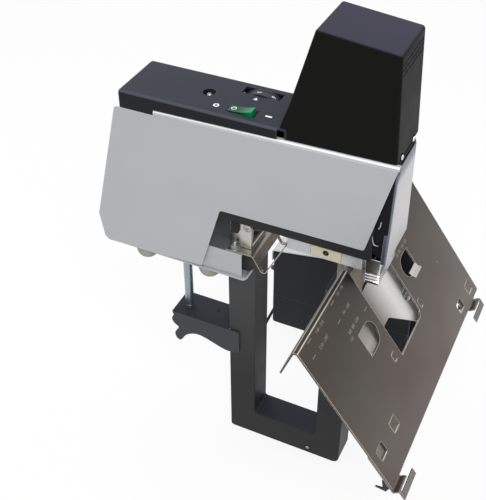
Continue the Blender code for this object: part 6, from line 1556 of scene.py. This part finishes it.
def pale_crease(start, places, body):
    """The crease between the pedal's mouldings catches light."""
    crease = between(places.part("Z"), crease_z - 0.0002, crease_z + crease_height, 0.0004)
    return crease.mix(body, linear(84, 86, 94))


pedal_black = finish("pedal_black", (43, 44, 47), 0.55, grain=1200, depth=0.00007, patch=0.1,
                     edge=(60, 60, 64), edge_width=0.001, shine=0.15, paint=pale_crease)
piece("pedal_shell", carved(shell, *pedal_tools), pedal_black, "frame", "pedal_base", bevel=0.0004,
      angle=45)
hood_back = pedal_rear + hood_lift
hood_path = rounded([(hood_back, hood_back_foot), (hood_back, pedal_back + hood_lift, 0.004),
                     (crown_y, crown + hood_lift, 0.014), (brow_y, brow + hood_lift, 0.004),
                     (hood_nose_y, hood_nose)], closed=False, steps=10)
hood = bent_sheet(hood_path, hood_sheet, pedal_x - hood_lip_half, pedal_x + hood_lip_half)
trims = []
for side in (-1, 1):
    edge = sorted((pedal_x + side * hood_half, pedal_x + side * (hood_lip_half + overrun)))
    for span in ((crown_y, hood_back + overrun), (hood_nose_y - overrun, brow_y)):
        trims.append(block(edge, span, (hood_back_foot - overrun, crown + 2 * overrun)))
hood_silver = finish("cover_silver", (206, 208, 210), 0.4, grain=1500, depth=0.00003, patch=0.03,
                     kind="_hood", edge=(228, 229, 231))
piece("pedal_hood_sheet", carved(hood, *trims), hood_silver, "frame", "pedal_hood", bevel=0.0004,
      angle=50)
treadle_axis = Vector((pedal_x, 0.060, 0.022))
treadle_rear, treadle_front = 0.068, -0.070
front_high, front_low, rear_high, rear_low = 0.052, 0.040, 0.030, 0.016
hub_radius, hub_bore = 0.0075, 0.0033
treadle_half = pedal_half - pedal_wall - treadle_room
rib_count, rib_height, rib_pitch = 9, 0.0012, 0.006
front_edge = Vector((treadle_front, front_high))
rise = Vector((treadle_front - treadle_rear, front_high - rear_high)).normalized()
up_from = Vector((rise.y, -rise.x))
ribs = []
for index in range(rib_count):
    begin = front_edge - rise * rib_pitch * (index + 0.5)
    for along, up in ((0, 0), (0.12, 0.75), (0.22, 1), (0.48, 1), (0.58, 0.75), (0.7, 0)):
        ribs.append(tuple(begin - rise * rib_pitch * along + up_from * rib_height * up))
tread_left, tread_right = pedal_x - treadle_half, pedal_x + treadle_half
hub = treadle_axis.y, treadle_axis.z
tread = plate([[(treadle_front, front_high), (treadle_front, front_low), (treadle_rear, rear_low),
                (treadle_rear, rear_high)] + ribs[::-1]], tread_left, tread_right, along_x)
tread = carved(tread, rod(hub_radius, along_x, hub, tread_left, tread_right), operation="UNION")
tread = carved(tread, rod(hub_bore, along_x, hub, tread_left - overrun, tread_right + overrun, 32))
treadle_grey = finish("treadle_grey", (168, 168, 168), 0.6, grain=900, depth=0.00006, edge=(190, 190, 190))
piece("treadle", tread, treadle_grey, "treadle", "pedal_treadle", bevel=0.0004, angle=42)
dress(zinc_plain, 0.0002, "pedal_pin")
dress(switch_black, 0.0004, "pedal_switch")
pedal_spring_low, pedal_spring_high, pedal_spring_y = 0.0043, 0.0296, -0.020
pedal_spring_radius, pedal_spring_wire, treadle_swing = 0.00675, 0.0007, 8
spring = spring_mesh(pedal_spring_radius, pedal_spring_wire, pedal_spring_low, pedal_spring_high, 6,
                     (pedal_x, pedal_spring_y))
pedal_spring = piece("treadle_spring", spring, bright, "frame", "pedal_spring", angle=180)
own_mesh(pedal_spring)
